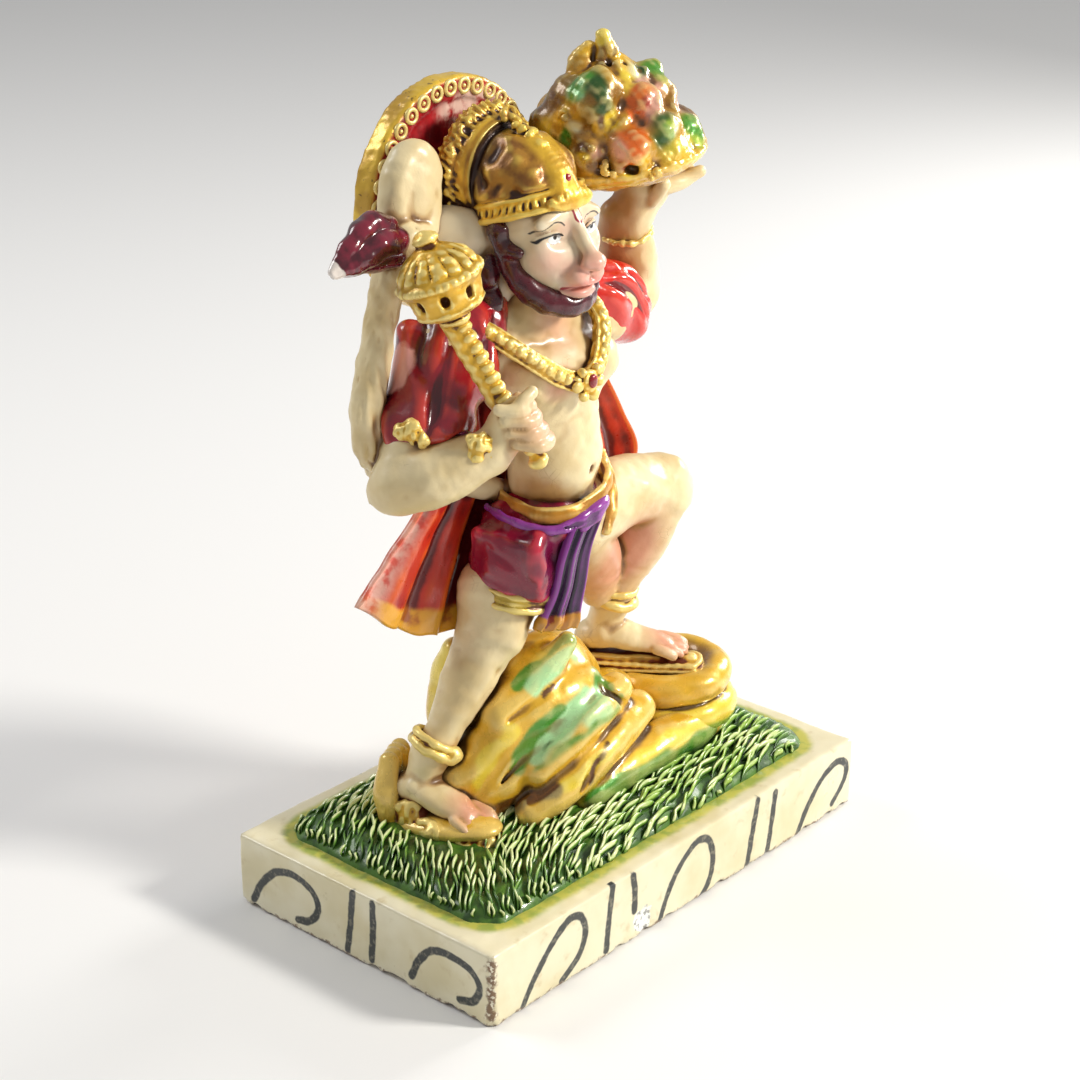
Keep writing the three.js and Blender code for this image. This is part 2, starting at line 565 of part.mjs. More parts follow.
// Tail: rises behind the right arm, curls over in front of the halo and ends in a flat tuft
function tail() {
  const rise = [
    [-12, 9, 58, 3], [-24, 9.5, 62, 3], [-34, 8.6, 68, 3.1], [-39.4, 7.4, 75, 3.1], [-40.8, 7, 84, 3],
    [-38.6, 7, 95, 2.8], [-34.6, 7.5, 106, 2.8], [-31.4, 9, 115, 2.9], [-29.4, 10, 123, 3],
    [-25.2, 10.2, 126.4, 3], [-22.6, 9.8, 121.4, 3], [-25.4, 8.4, 114, 3], [-29.4, 6.6, 112.8, 3],
  ];
  const tuft = [
    [[-36, 6.6, 116.6, 2.4], [-39.6, 6.6, 117.4, 2.5], [-44.6, 6.2, 114.6, 2], [-48.7, 6, 111.8, 0.8]],
    [[-35, 5.4, 114, 2.8], [-39.4, 4.8, 114.4, 2.8], [-44.4, 5.2, 112.6, 2], [-48.4, 5.8, 111.2, 0.7]],
    [[-34.6, 5.8, 111.8, 2.3], [-38.5, 5.8, 112, 2.4], [-43, 5.8, 111.4, 1.5], [-47.6, 6, 110.9, 0.7]],
  ];
  return fuse([
    bar(rise, { sides: 7 }),
    lump([-31.4, 6.2, 112.8], [3.6, 3.4, 3.6]),
    lump([-26.5, 8.6, 120.8], [3.8, 2.8, 7.4], { turn: [0, 8, 0] }),
    ...tuft.map((strand) => bar(strand, { sides: 5 })),
  ]);
}

// Mace: a beaded shaft from the knob below the fist to the drum, its flanged rim and petalled dome
function mace() {
  const foot = [-24.4, -17, 78];
  const beads = Array.from({ length: 13 }, (_, k) => [[1, 1.6 + 2 * k], [1.6, 2.6 + 2 * k]]);
  const shaft = [[0, -1.4], [1.9, -0.2], [1.2, 1], ...beads.flat(), [1, 28], [0, 29]];
  const drum = [
    [0, -1], [2.7, 0.7], [2.3, 1.4], [5.6, 2.6], [6.2, 3.4], [6.6, 6.6], [7.7, 8], [7.5, 9],
    [6.6, 10.2], [4.2, 12.8], [2, 14.2], [2.3, 14.9], [2.1, 15.5], [0, 16.5],
  ];
  const petals = { sides: 14, flutes: 7, depth: 0.04, from: 10, to: 14 };
  return fuse([
    turned(foot, [-0.3, 0.36, 0.885], shaft, { sides: 7 }),
    turned([-33, -6.7, 102.2], [-0.2, 0.25, 0.885], drum, petals),
  ]);
}

// Mountain: a cone of melted crags, domes and fins heaped on a tray and tilted with it
function mountain() {
  const dish = [[0, 0], [9.6, 0], [tray.radius - 0.8, 2.6], [tray.radius, 4], [0, 4.6]];
  const cone = [[0, 3], [13.2, 3], [12.4, 6], [11, 9], [9.2, 12], [7.4, 15], [5.6, 18], [4, 21], [0, 23]];
  const domes = [
    [[9.8, 0.6, 129.2], [4.6, 5, 7.2], [8, 14, 0]], [[10.4, 6.4, 128.2], [4.2, 4.6, 6], [0, 0, 0]],
    [[16.6, -4.8, 127.6], [3.8, 3.6, 6], [12, -6, 0]], [[11.6, -6.8, 121.6], [4.8, 4.2, 4.6], [0, 0, 30]],
    [[17.8, -8.8, 124.6], [3.6, 3.5, 3.6], [0, 0, 0]], [[25.6, -7.6, 122.8], [3.3, 3.2, 3.3], [0, 0, 0]],
    [[24.2, 0.2, 133], [2.7, 2.6, 2.7], [0, 0, 0]], [[23, -3.4, 128.6], [3.4, 3.2, 4.4], [0, 0, 0]],
    [[7, 4.4, 124.6], [3.2, 3.6, 4.6], [0, 0, 0]], [[6.6, -0.4, 121.6], [3, 3.2, 3.2], [0, 0, 0]],
    [[29.2, -3.6, 122.6], [3.8, 3.8, 3.8], [0, 0, 0]], [[28.4, 3.8, 125.4], [4.4, 4.6, 5], [0, 0, 0]],
    [[22.6, 9.4, 126.8], [4.6, 4.4, 5.8], [0, 0, 0]], [[14, 11.6, 124.6], [4.8, 4.4, 5.6], [0, 0, 0]],
    [[29, 9, 121.6], [4.2, 4, 4], [0, 0, 0]], [[18.4, 8.6, 132.2], [3.6, 3.6, 4.8], [0, 0, 0]],
  ];
  const ridges = [
    [[14.4, 0.2, 135.5, 1], [14.6, -3.4, 131, 1.1], [11.8, -5.6, 127, 1.1], [9.6, -7, 124, 0.8]],
    [[20.8, -1.6, 134.5, 0.9], [20.5, -5.2, 130, 1], [17.6, -8, 126, 1], [13.6, -9.6, 122.6, 0.8]],
  ];
  const fins = [
    [[12.6, 6.6, 131, 2.6], [12.9, 6.2, 136, 2], [13.9, 5.2, 139.2, 1.1]],
    [[16.6, 3.2, 131, 3.6], [16.2, 3, 136.5, 2.4], [15.7, 3.3, 140.4, 1.4]],
  ];
  return fuse([
    turned(tray.centre, [-0.1, 0.1, 1], dish, { sides: 16 }),
    turned(tray.centre, [-4.3, 1.3, 25], cone, { sides: 12, flutes: 6, depth: 0.06, from: 5, to: 22 }),
    ...domes.map(([centre, radii, turn]) => lump(centre, radii, { turn, across: 7, down: 4 })),
    ...ridges.map((ridge) => bar(ridge, { sides: 4, blunt: true })),
    ...fins.map((fin) => bar(fin, { sides: 6 })),
  ]);
}

// Cape: one pleated sheet that hangs from the shoulders behind the figure and flies out to its right
function cape() {
  const left = line([
    [-21, 5, 94], [-21.5, 8.5, 78], [-23.5, 10, 64], [-31, 11.5, 54.5], [-39, 12, 46.6],
  ]);
  const right = line([[12, 5, 93], [18, 7, 80], [25.4, 8, 68.5], [31, 8.6, 58], [27, 9, 47]]);
  const pleat = (u, v, behind) => {
    const fold = Math.cos(u * Math.PI * 10) * (0.3 + 0.8 * v);
    const drop = -14.5 * (1 - (1 - u) ** 4.5) * (1 - u ** 3) * v ** 4;
    return left.getPoint(v).lerp(right.getPoint(v), u).add(at(0, fold + behind, drop));
  };
  return between((u, v) => pleat(u, 1 - v, -1.1), (u, v) => pleat(u, 1 - v, 1.3), 18, 5);
}

// Shawl: the cape's cloth drawn over both shoulders, with an open end on the right arm
function shawl() {
  return fuse([
    bar([
      [-15, 2.2, 96.4, 5.2], [-23, 2, 95, 7.2], [-29, 1.6, 88.6, 7.7], [-34, 1.4, 82.4, 7.1],
    ], { sides: 8 }),
    bar([[-31, 4, 88, 4], [-37.4, 3.4, 82.6, 2.2]], { sides: 6, blunt: true }),
    bar([[5, 2.4, 96, 5.6], [12.5, 1.4, 94.4, 7.2], [17.5, 1.6, 91, 7]], { sides: 8 }),
    bar([[-18, 4.5, 96, 4.4], [-5, 6, 96.5, 4.4], [9, 5, 95, 4.4]], { sides: 6, blunt: true }),
  ]);
}

// The space below the plinth's top, where the casting is cut flat
function below() {
  const slab = new THREE.BoxGeometry(2 * PLINTH_LENGTH, 2 * PLINTH_LENGTH, PLINTH_LENGTH);
  return solid(slab.translate(0, 0, -PLINTH_LENGTH / 2));
}

const casting = fuse([
  turf(), rock(), footring(), legs(), loincloth(), torso(), necklace(), arms(), head(), crown(), halo(),
  tail(), mace(), mountain(), cape(), shawl(),
]).subtract(below());

const goldPaint = { color: 0xd9a93c, roughness: 0.45, metalness: 0.05 };
const creamLacquer = { color: 0xe9dfbe, roughness: 0.35, metalness: 0 };
const figure = meshOf(trimmed(casting, JOIN_SLACK), "figure", goldPaint);
figure.position.z = PLINTH_HEIGHT;

const model = new THREE.Group();
model.add(meshOf(plinth(), "plinth", creamLacquer), figure);

export default model;
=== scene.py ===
"""A painted cast souvenir figure of Hanuman on a plinth: its carving and its paint.

Places are in millimetres, measured from the middle of the plinth's top, with +Z up and the figure's
front towards -Y. Forms are pressed into blocks of clay, which are distance fields, and each block is
cast as one mesh. Every mesh is then lifted to the plinth's top and scaled to metres.
"""

import json
import math

import bpy
import numpy as np
import openvdb
from mathutils import Euler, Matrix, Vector

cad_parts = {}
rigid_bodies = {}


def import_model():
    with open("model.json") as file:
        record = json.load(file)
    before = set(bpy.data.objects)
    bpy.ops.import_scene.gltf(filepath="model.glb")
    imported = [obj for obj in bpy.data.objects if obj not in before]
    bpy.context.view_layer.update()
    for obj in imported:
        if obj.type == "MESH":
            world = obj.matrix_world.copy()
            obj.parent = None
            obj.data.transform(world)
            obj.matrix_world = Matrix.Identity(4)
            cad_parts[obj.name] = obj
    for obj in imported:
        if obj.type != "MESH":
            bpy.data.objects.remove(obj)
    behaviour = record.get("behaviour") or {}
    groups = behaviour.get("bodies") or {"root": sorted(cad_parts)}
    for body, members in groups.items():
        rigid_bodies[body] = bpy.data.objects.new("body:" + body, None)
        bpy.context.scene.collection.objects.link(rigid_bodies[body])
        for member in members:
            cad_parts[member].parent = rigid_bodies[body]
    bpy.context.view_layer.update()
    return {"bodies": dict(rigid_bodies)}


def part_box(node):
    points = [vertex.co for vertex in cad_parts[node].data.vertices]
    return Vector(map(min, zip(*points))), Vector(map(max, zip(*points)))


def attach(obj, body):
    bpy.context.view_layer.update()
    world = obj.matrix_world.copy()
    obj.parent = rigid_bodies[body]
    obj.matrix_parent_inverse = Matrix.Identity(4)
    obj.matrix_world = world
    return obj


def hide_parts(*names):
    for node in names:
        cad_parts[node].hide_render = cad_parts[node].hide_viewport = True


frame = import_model()
HALF_LENGTH, HALF_WIDTH, TOP = np.array(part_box("plinth")[1]) * 1000
FAR = 2.5  # mm, the distance that a block of clay holds where there is no form
MM = 0.001


# ---- camera, light and floor


def in_scene(name, data):
    made = bpy.data.objects.new(name, data)
    bpy.context.scene.collection.objects.link(made)
    return made


def place_camera():
    """At the photograph's viewing angle, as solved from the plinth's edges"""
    yaw, pitch = math.radians(-48.47), math.radians(23.24)
    level = math.cos(pitch)
    back = Vector((math.sin(yaw) * level, -math.cos(yaw) * level, math.sin(pitch)))
    camera = in_scene("camera", bpy.data.cameras.new("camera"))
    camera.location = (-0.3153, -0.275, 0.245)
    camera.rotation_mode = "QUATERNION"
    camera.rotation_quaternion = (-back).to_track_quat("-Z", "Y")
    camera.data.sensor_width = 36
    camera.data.lens = 82.8
    camera.data.clip_start = 0.01
    camera.data.clip_end = 20
    bpy.context.scene.camera = camera


def lamp(name, place, size, power, tint):
    """A soft square lamp that looks at the figure's middle"""
    light = bpy.data.lights.new(name, "AREA")
    light.size = size
    light.energy = power
    light.color = tint
    holder = in_scene(name, light)
    holder.location = place
    aim = Vector((0, 0, 0.08)) - Vector(place)
    holder.rotation_euler = aim.to_track_quat("-Z", "Y").to_euler()


def light_studio():
    world = bpy.data.worlds.new("studio")
    world.use_nodes = True
    sky = world.node_tree.nodes["Background"].inputs
    sky["Color"].default_value = (1, 1, 1, 1)
    sky["Strength"].default_value = 0.36
    bpy.context.scene.world = world
    bpy.context.scene.view_settings.view_transform = "Standard"
    lamp("key", (0.34, -0.6, 0.48), 0.14, 6.4, (1, 0.96, 0.88))
    lamp("side", (0.6, -0.05, 0.25), 0.2, 2, (1, 0.98, 0.94))
    lamp("back", (-0.25, 0.55, 0.55), 0.3, 2, (1, 1, 1))


# ---- forms pressed into clay


def unit(way):
    way = np.array(way, float)
    return way / np.linalg.norm(way)


def smooth(stations, steps):
    """Catmull-Rom stations between the given ones"""
    given = np.array(stations, float)
    ends = np.vstack([2 * given[0] - given[1], given, 2 * given[-1] - given[-2]])
    made = []
    for a, b, c, d in zip(ends, ends[1:], ends[2:], ends[3:]):
        for t in np.arange(steps) / steps:
            bend = (2 * a - 5 * b + 4 * c - d) * t**2 + (3 * b - a - 3 * c + d) * t**3
            made.append(0.5 * (2 * b + (c - a) * t + bend))
    return np.array(made + [given[-1]])


def rod(stations, wide=1, broad=(1, 0, 0), steps=4):
    """A round bar through stations of x, y, z and radius; wide stretches it along broad"""
    path = smooth(stations, steps) if len(stations) > 2 else np.array(stations, float)
    broad = unit(broad)
    squeeze = 1 / wide - 1
    parts = []
    for one, two in zip(path[:-1], path[1:]):
        a = one[:3] + squeeze * (one[:3] @ broad) * broad
        b = two[:3] + squeeze * (two[:3] @ broad) * broad
        step = b - a

        def depth(x, y, z, a=a, step=step, one=one, two=two):
            if wide != 1:
                along = (x * broad[0] + y * broad[1] + z * broad[2]) * squeeze
                x, y, z = x + along * broad[0], y + along * broad[1], z + along * broad[2]
            x, y, z = x - a[0], y - a[1], z - a[2]
            share = (x * step[0] + y * step[1] + z * step[2]) / max(step @ step, 1e-9)
            t = held(share)
            off = (x - t * step[0]) ** 2 + (y - t * step[1]) ** 2 + (z - t * step[2]) ** 2
            return np.sqrt(off) - (one[3] + t * (two[3] - one[3]))

        reach = max(one[3], two[3]) * max(wide, 1)
        low, high = np.minimum(one, two)[:3] - reach, np.maximum(one, two)[:3] + reach
        parts.append((low, high, depth))
    return parts


def turned(turn):
    """The rows of a turn about X, Y and Z in degrees"""
    return np.array(Euler([math.radians(angle) for angle in turn]).to_matrix()).T


def ball(centre, radii, turn=(0, 0, 0)):
    """A ball stretched to three radii, turned about X, Y and Z in degrees"""
    rows, radii, centre = turned(turn), np.array(radii, float), np.array(centre, float)

    def depth(x, y, z):
        x, y, z = x - centre[0], y - centre[1], z - centre[2]
        local = [(row[0] * x + row[1] * y + row[2] * z) / r for row, r in zip(rows, radii)]
        near = np.sqrt(sum(q * q for q in local))
        slope = np.sqrt(sum((q / r) ** 2 for q, r in zip(local, radii)))
        return (near - 1) * np.where(near < 1e-3, radii.min(), near / (slope + 1e-9))

    reach = radii.max()
    return [(centre - reach, centre + reach, depth)]


def ring(centre, radius, thick, axis):
    """A round hoop about an axis"""
    centre, axis = np.array(centre, float), unit(axis)

    def depth(x, y, z):
        x, y, z = x - centre[0], y - centre[1], z - centre[2]
        along = x * axis[0] + y * axis[1] + z * axis[2]
        flat = np.sqrt(np.maximum(x * x + y * y + z * z - along * along, 0))
        return np.sqrt((flat - radius) ** 2 + along**2) - thick

    reach = radius + thick
    return [(centre - reach, centre + reach, depth)]


def block(centre, half, turn=(0, 0, 0), edge=0.4):
    """A box with rounded edges"""
    rows, half, centre = turned(turn), np.array(half, float), np.array(centre, float)

    def depth(x, y, z):
        x, y, z = x - centre[0], y - centre[1], z - centre[2]
        local = [np.abs(row[0] * x + row[1] * y + row[2] * z) - h + edge for row, h in zip(rows, half)]
        outer = np.sqrt(sum(np.maximum(q, 0) ** 2 for q in local))
        inner = np.minimum(np.maximum(np.maximum(local[0], local[1]), local[2]), 0)
        return outer + inner - edge

    reach = np.linalg.norm(half)
    return [(centre - reach, centre + reach, depth)]


def spun(foot, axis, profile, pattern=None):
    """A turned form: heights and radii about an axis, with a pattern of height and angle cut in"""
    foot, axis = np.array(foot, float), unit(axis)
    heights, radii = np.array(profile, float).T
    side = unit(np.cross(axis, (0, 1, 0.02)))
    front = np.cross(axis, side)

    def depth(x, y, z):
        x, y, z = x - foot[0], y - foot[1], z - foot[2]
        along = x * axis[0] + y * axis[1] + z * axis[2]
        across = x * side[0] + y * side[1] + z * side[2]
        onward = x * front[0] + y * front[1] + z * front[2]
        radius = np.interp(along, heights, radii).astype(np.float32)
        if pattern:
            radius = radius + pattern(along, np.arctan2(across, onward))
        ends = np.maximum(heights[0] - along, along - heights[-1])
        return np.maximum(np.sqrt(across**2 + onward**2) - radius, ends)

    reach = radii.max() + 1
    ends = np.array([foot + axis * heights[0], foot + axis * heights[-1]])
    return [(ends.min(0) - reach, ends.max(0) + reach, depth)]


def held(value):
    """A value kept between 0 and 1"""
    return np.clip(value, 0, 1)


def columns(*parts):
    """Arrays side by side"""
    return np.stack(parts, 1)


class Clay:
    """A block of distances to a surface, negative inside, that forms are joined to or cut from"""

    def __init__(self, low, high, cell):
        self.low, self.cell = np.array(low, float), cell
        count = np.ceil((np.array(high) - self.low) / cell).astype(int) + 1
        self.depth = np.full(count, FAR, np.float32)

    def window(self, low, high):
        """The cells between two corners, and their x, y and z in mm"""
        first = np.floor((np.array(low) - self.low) / self.cell).astype(int)
        last = np.ceil((np.array(high) - self.low) / self.cell).astype(int) + 1
        first = np.clip(first, 0, self.depth.shape)
        last = np.clip(last, first, self.depth.shape)
        spans = tuple(slice(a, b) for a, b in zip(first, last))
        lines = [self.low[k] + self.cell * np.arange(first[k], last[k]) for k in range(3)]
        return spans, np.ix_(*[line.astype(np.float32) for line in lines])

    def measure(self, parts, margin):
        """The cells round some parts of a form, and its depth in them"""
        low = np.min([part[0] for part in parts], 0) - margin
        high = np.max([part[1] for part in parts], 0) + margin
        spans, _ = self.window(low, high)
        field = np.full_like(self.depth, FAR) if len(parts) > 1 else None
        for part_low, part_high, depth in parts:
            small, grid = self.window(part_low - margin, part_high + margin)
            made = depth(*grid).astype(np.float32)
            if field is None:
                return small, made
            field[small] = np.minimum(field[small], made)
        return spans, field[spans]

    def bar(self, soft, *stations, **form):
        """Adds a rod; soft is how far its joint is rounded in mm, as in all that follow"""
        self.add(rod(stations, **form), soft)

    def lump(self, soft, *form):
        """Adds a ball"""
        self.add(ball(*form), soft)

    def hoop(self, soft, *form):
        """Adds a ring"""
        self.add(ring(*form), soft)

    def groove(self, soft, *stations, **form):
        """Cuts a rod out"""
        self.cut(rod(stations, **form), soft)

    def dent(self, soft, *form):
        """Cuts a ball out"""
        self.cut(ball(*form), soft)

    def add(self, parts, soft):
        spans, new = self.measure(parts, soft + 2 * self.cell)
        old = self.depth[spans]
        gap = np.maximum(soft - np.abs(old - new), 0)
        self.depth[spans] = np.minimum(old, new) - gap * gap / (4 * soft)

    def cut(self, parts, soft):
        spans, new = self.measure(parts, soft + 2 * self.cell)
        old = self.depth[spans]
        gap = np.maximum(soft - np.abs(old + new), 0)
        self.depth[spans] = np.maximum(old, -new) + gap * gap / (4 * soft)

    def level(self, height):
        """Cuts the block flat below a height"""
        z = self.low[2] + self.cell * np.arange(self.depth.shape[2], dtype=np.float32)
        self.depth = np.maximum(self.depth, (height - z)[None, None, :])

    def cast(self, name, relief=None, shades=True):
        """The block's surface as a mesh, with fine relief in mm pushed out along its normals"""
        if shades:
            surroundings.fill(self)
        grid = openvdb.FloatGrid(FAR)
        grid.copyFromArray(self.depth)
        spots, _, quads = grid.convertToPolygons(0.0, 0.0)
        spots = np.array(spots, float)
        steps = np.eye(3) * 0.5
        for _ in range(2):
            rise = [look_up(self.depth, spots + s) - look_up(self.depth, spots - s) for s in steps]
            slope = columns(*rise)
            size = np.maximum((slope**2).sum(1), 1e-4)
            move = slope * (look_up(self.depth, spots) / size)[:, None]
            spots -= np.clip(move, -0.5, 0.5)
        normals = slope / np.sqrt(size)[:, None]
        places = self.low + self.cell * spots
        if relief:
            places = places + normals * relief(places)[:, None]
        a, b, c = [spots[quads[:, k]] for k in (0, 1, 2)]
        outward = (np.cross(b - a, c - b) * normals[quads[:, 0]]).sum(1)
        if np.median(outward) < 0:
            quads = quads[:, ::-1]
        return make_mesh(name, places, quads)


def look_up(field, place):
    """Trilinear values of a field at places in cells"""
    base = np.clip(np.floor(place).astype(int), 0, np.array(field.shape) - 2)
    part = place - base
    total = np.zeros(len(place))
    for corner in np.ndindex(2, 2, 2):
        weight = np.prod(np.where(np.array(corner) == 1, part, 1 - part), axis=1)
        total += weight * field[tuple((base + corner).T)]
    return total


def ripple(places, size, seed, waves=8, stretch=(1, 1, 1)):
    """Gentle unevenness from -1 to 1 with hollows about a size apart, in mm"""
    draw = np.random.default_rng(seed)
    total = np.zeros(len(places))
    for _ in range(waves):
        way = unit(draw.normal(size=3)) * draw.uniform(0.7, 1.4) * 2 * math.pi / size
        total += np.sin(places @ (way / np.array(stretch)) + draw.uniform(0, 2 * math.pi))
    return total / waves**0.5


def rippled(*waves):
    """Relief of ripples alone, each with its size, its height and its seed"""
    return lambda places: sum(ripple(places, *wave[::2]) * wave[1] for wave in waves)


# ---- meshes

pieces = []


def make_mesh(name, places, faces):
    """A mesh object from places in mm and an array of three- or four-sided faces"""
    mesh = bpy.data.meshes.new(name)
    lifted = (np.array(places, float) + (0, 0, TOP)) * MM
    faces = np.array(faces, np.int32)
    count, sides = faces.shape
    mesh.vertices.add(len(lifted))
    mesh.vertices.foreach_set("co", lifted.ravel())
    mesh.loops.add(faces.size)
    mesh.loops.foreach_set("vertex_index", faces.ravel())
    mesh.polygons.add(count)
    mesh.polygons.foreach_set("loop_start", np.arange(0, faces.size, sides, dtype=np.int32))
    mesh.update(calc_edges=True)
    mesh.shade_smooth()
    return in_scene(name, mesh)


def places_of(piece):
    """The points of a mesh in mm"""
    places = np.zeros(len(piece.data.vertices) * 3)
    piece.data.vertices.foreach_get("co", places)
    return places.reshape(-1, 3) * 1000 - (0, 0, TOP)


def normals_of(piece):
    normals = np.zeros(len(piece.data.vertices) * 3)
    piece.data.vertex_normals.foreach_get("vector", normals)
    return normals.reshape(-1, 3)


def give(piece, name, values):
    """Stores a number or a colour at each point of a mesh"""
    values = np.asarray(values, np.float32)
    if values.ndim == 1:
        piece.data.attributes.new(name, "FLOAT", "POINT").data.foreach_set("value", values)
    else:
        colour = np.hstack([values, np.ones((len(values), 1), np.float32)])
        layer = piece.data.attributes.new(name, "FLOAT_COLOR", "POINT")
        layer.data.foreach_set("color", colour.ravel())


def store_vectors(piece, name, values):
    """Stores a vector at each point of a mesh, for a tree to read"""
    layer = piece.data.attributes.new(name, "FLOAT_VECTOR", "POINT")
    layer.data.foreach_set("vector", np.asarray(values, np.float32).ravel())


def net(xs, ys):
    """The x and the y of a net of points, row after row"""
    return [part.ravel() for part in np.meshgrid(xs, ys)]


def sheet(name, front, back, across, down):
    """A closed sheet between two nets of points with a number of faces across and down"""
    row, count = across + 1, len(front)
    i, j = np.meshgrid(np.arange(across), np.arange(down), indexing="ij")
    first = (j * row + i).ravel()
    faces = columns(first, first + 1, first + row + 1, first + row)
    top, low = np.arange(across), down * row + np.arange(across, 0, -1)
    rim = np.concatenate([top, np.arange(down) * row + across, low, np.arange(down, 0, -1) * row])
    after = np.roll(rim, -1)
    edge = columns(after, rim, rim + count, after + count)
    return make_mesh(name, np.vstack([front, back]), np.vstack([faces, faces[:, ::-1] + count, edge]))


def cloth(name, surface, across, down):
    """A closed sheet between both sides of a surface over u and v from 0 to 1"""
    u, v = net(np.linspace(0, 1, across + 1), np.linspace(0, 1, down + 1))
    piece = sheet(name, surface(u, v, 1), surface(u, v, -1), across, down)
    give(piece, "along", np.tile(u, 2))
    give(piece, "hang", np.tile(v, 2))
    return piece


def curve_at(stations, t):
    """Places on a smooth curve through stations, for t from 0 to 1"""
    path = smooth(stations, 12)
    knots = np.linspace(0, 1, len(path))
    return columns(*[np.interp(t, knots, path[:, k]) for k in range(3)])


def crest(piece, rounds):
    """How far each point stands proud of its smoothed surroundings, in tenths of a mm"""
    places = places_of(piece)
    ends = np.zeros(len(piece.data.edges) * 2, np.int32)
    piece.data.edges.foreach_get("vertices", ends)
    one = np.concatenate([ends[::2], ends[1::2]])
    two = np.concatenate([ends[1::2], ends[::2]])
    count = np.maximum(np.bincount(one, minlength=len(places)), 1)
    calm = places.copy()
    for _ in range(rounds):
        sums = [np.bincount(one, calm[two, k], len(places)) for k in range(3)]
        calm = columns(*sums) / count[:, None]
    return ((places - calm) * normals_of(piece)).sum(1) * 10


class Surroundings:
    """A coarse block of where there is casting, to find nooks that hold brown wash and painted shade"""

    CELL = 0.8

    def __init__(self):
        self.low = np.array([-HALF_LENGTH - 2, -HALF_WIDTH - 2, -3])
        high = np.array([HALF_LENGTH + 2, HALF_WIDTH + 2, 146])
        self.solid = np.zeros(np.ceil((high - self.low) / self.CELL).astype(int), np.float32)
        self.solid[:, :, : int(-self.low[2] / self.CELL)] = 1

    def fill(self, clay):
        """Adds a block of clay"""
        spots = [self.low[k] + self.CELL * (np.arange(self.solid.shape[k]) + 0.5) for k in range(3)]
        index = [np.round((spots[k] - clay.low[k]) / clay.cell).astype(int) for k in range(3)]
        keep = [(index[k] >= 0) & (index[k] < clay.depth.shape[k]) for k in range(3)]
        small = clay.depth[np.ix_(*[index[k][keep[k]] for k in range(3)])]
        part = np.ix_(*[np.nonzero(keep[k])[0] for k in range(3)])
        self.solid[part] = np.maximum(self.solid[part], held(0.5 - small))

    def splat(self, piece):
        """Adds the points of a thin mesh"""
        cells = np.floor((places_of(piece) - self.low) / self.CELL).astype(int)
        self.solid[tuple(cells.T)] = 1

    def blur(self):
        for _ in range(2):
            for axis in range(3):
                beside = np.roll(self.solid, 1, axis) + self.solid + np.roll(self.solid, -1, axis)
                self.solid = beside / 3

    def nook(self, piece):
        """From 0 in the open to 1 in a deep nook, at each point of a mesh"""
        spots = places_of(piece) + normals_of(piece) * 1.1
        seen = look_up(self.solid, (spots - self.low) / self.CELL - 0.5)
        return held((seen - 0.12) / 0.5)


surroundings = Surroundings()


# ---- repeated pieces, by Geometry Nodes


class Tree:
    """A node tree of geometry whose sizes are named inputs"""

    def __init__(self, name, **sizes):
        self.group = bpy.data.node_groups.new(name, "GeometryNodeTree")
        sides = self.group.interface
        for way in ("INPUT", "OUTPUT"):
            sides.new_socket("Geometry", in_out=way, socket_type="NodeSocketGeometry")
        self.settings = {}
        for label, value in sizes.items():
            kind = "NodeSocketInt" if isinstance(value, int) else "NodeSocketFloat"
            made = sides.new_socket(label, in_out="INPUT", socket_type=kind)
            self.settings[made.identifier] = value
        self.entry = self.group.nodes.new("NodeGroupInput")

    def node(self, kind, sockets=None, **settings):
        """A node; a string stands for an input of the tree, and a node for its first output"""
        made = self.group.nodes.new(kind if "Node" in kind else f"GeometryNode{kind}")
        for key, value in settings.items():
            setattr(made, key, value)
        for key, value in (sockets or {}).items():
            if isinstance(value, str) and key != "Name":
                value = self.entry.outputs[value]
            if isinstance(value, bpy.types.Node):
                value = value.outputs[0]
            if isinstance(value, bpy.types.NodeSocket):
                self.group.links.new(value, made.inputs[key])
            else:
                made.inputs[key].default_value = value
        return made

    def math(self, operation, *values):
        return self.node("ShaderNodeMath", dict(enumerate(values)), operation=operation)

    def place(self, thing, points, material, **sockets):
        """Ends the tree with a thing on each point, smooth and painted"""
        soft = self.node("SetShadeSmooth", {"Geometry": thing})
        placed = self.node("InstanceOnPoints", {"Points": points, "Instance": soft, **sockets})
        real = self.node("RealizeInstances", {"Geometry": placed})
        painted = self.node("SetMaterial", {"Geometry": real, "Material": material})
        self.group.links.new(painted.outputs[0], self.group.nodes.new("NodeGroupOutput").inputs[0])

    def lay(self, name, places, pairs=()):
        """A mesh of loose points, or of points joined in lines, for the tree to work on"""
        mesh = bpy.data.meshes.new(name)
        lifted = (np.array(places, float) + (0, 0, TOP)) * MM
        mesh.from_pydata(lifted.tolist(), list(pairs), [])
        return in_scene(name, mesh)

    def run(self, piece):
        """Works on a laid mesh and leaves a plain one"""
        modifier = piece.modifiers.new("nodes", "NODES")
        modifier.node_group = self.group
        for identifier, value in self.settings.items():
            modifier[identifier] = value
        seen = piece.evaluated_get(bpy.context.evaluated_depsgraph_get())
        plain = bpy.data.meshes.new_from_object(seen)
        piece.modifiers.clear()
        piece.data = plain
        return piece


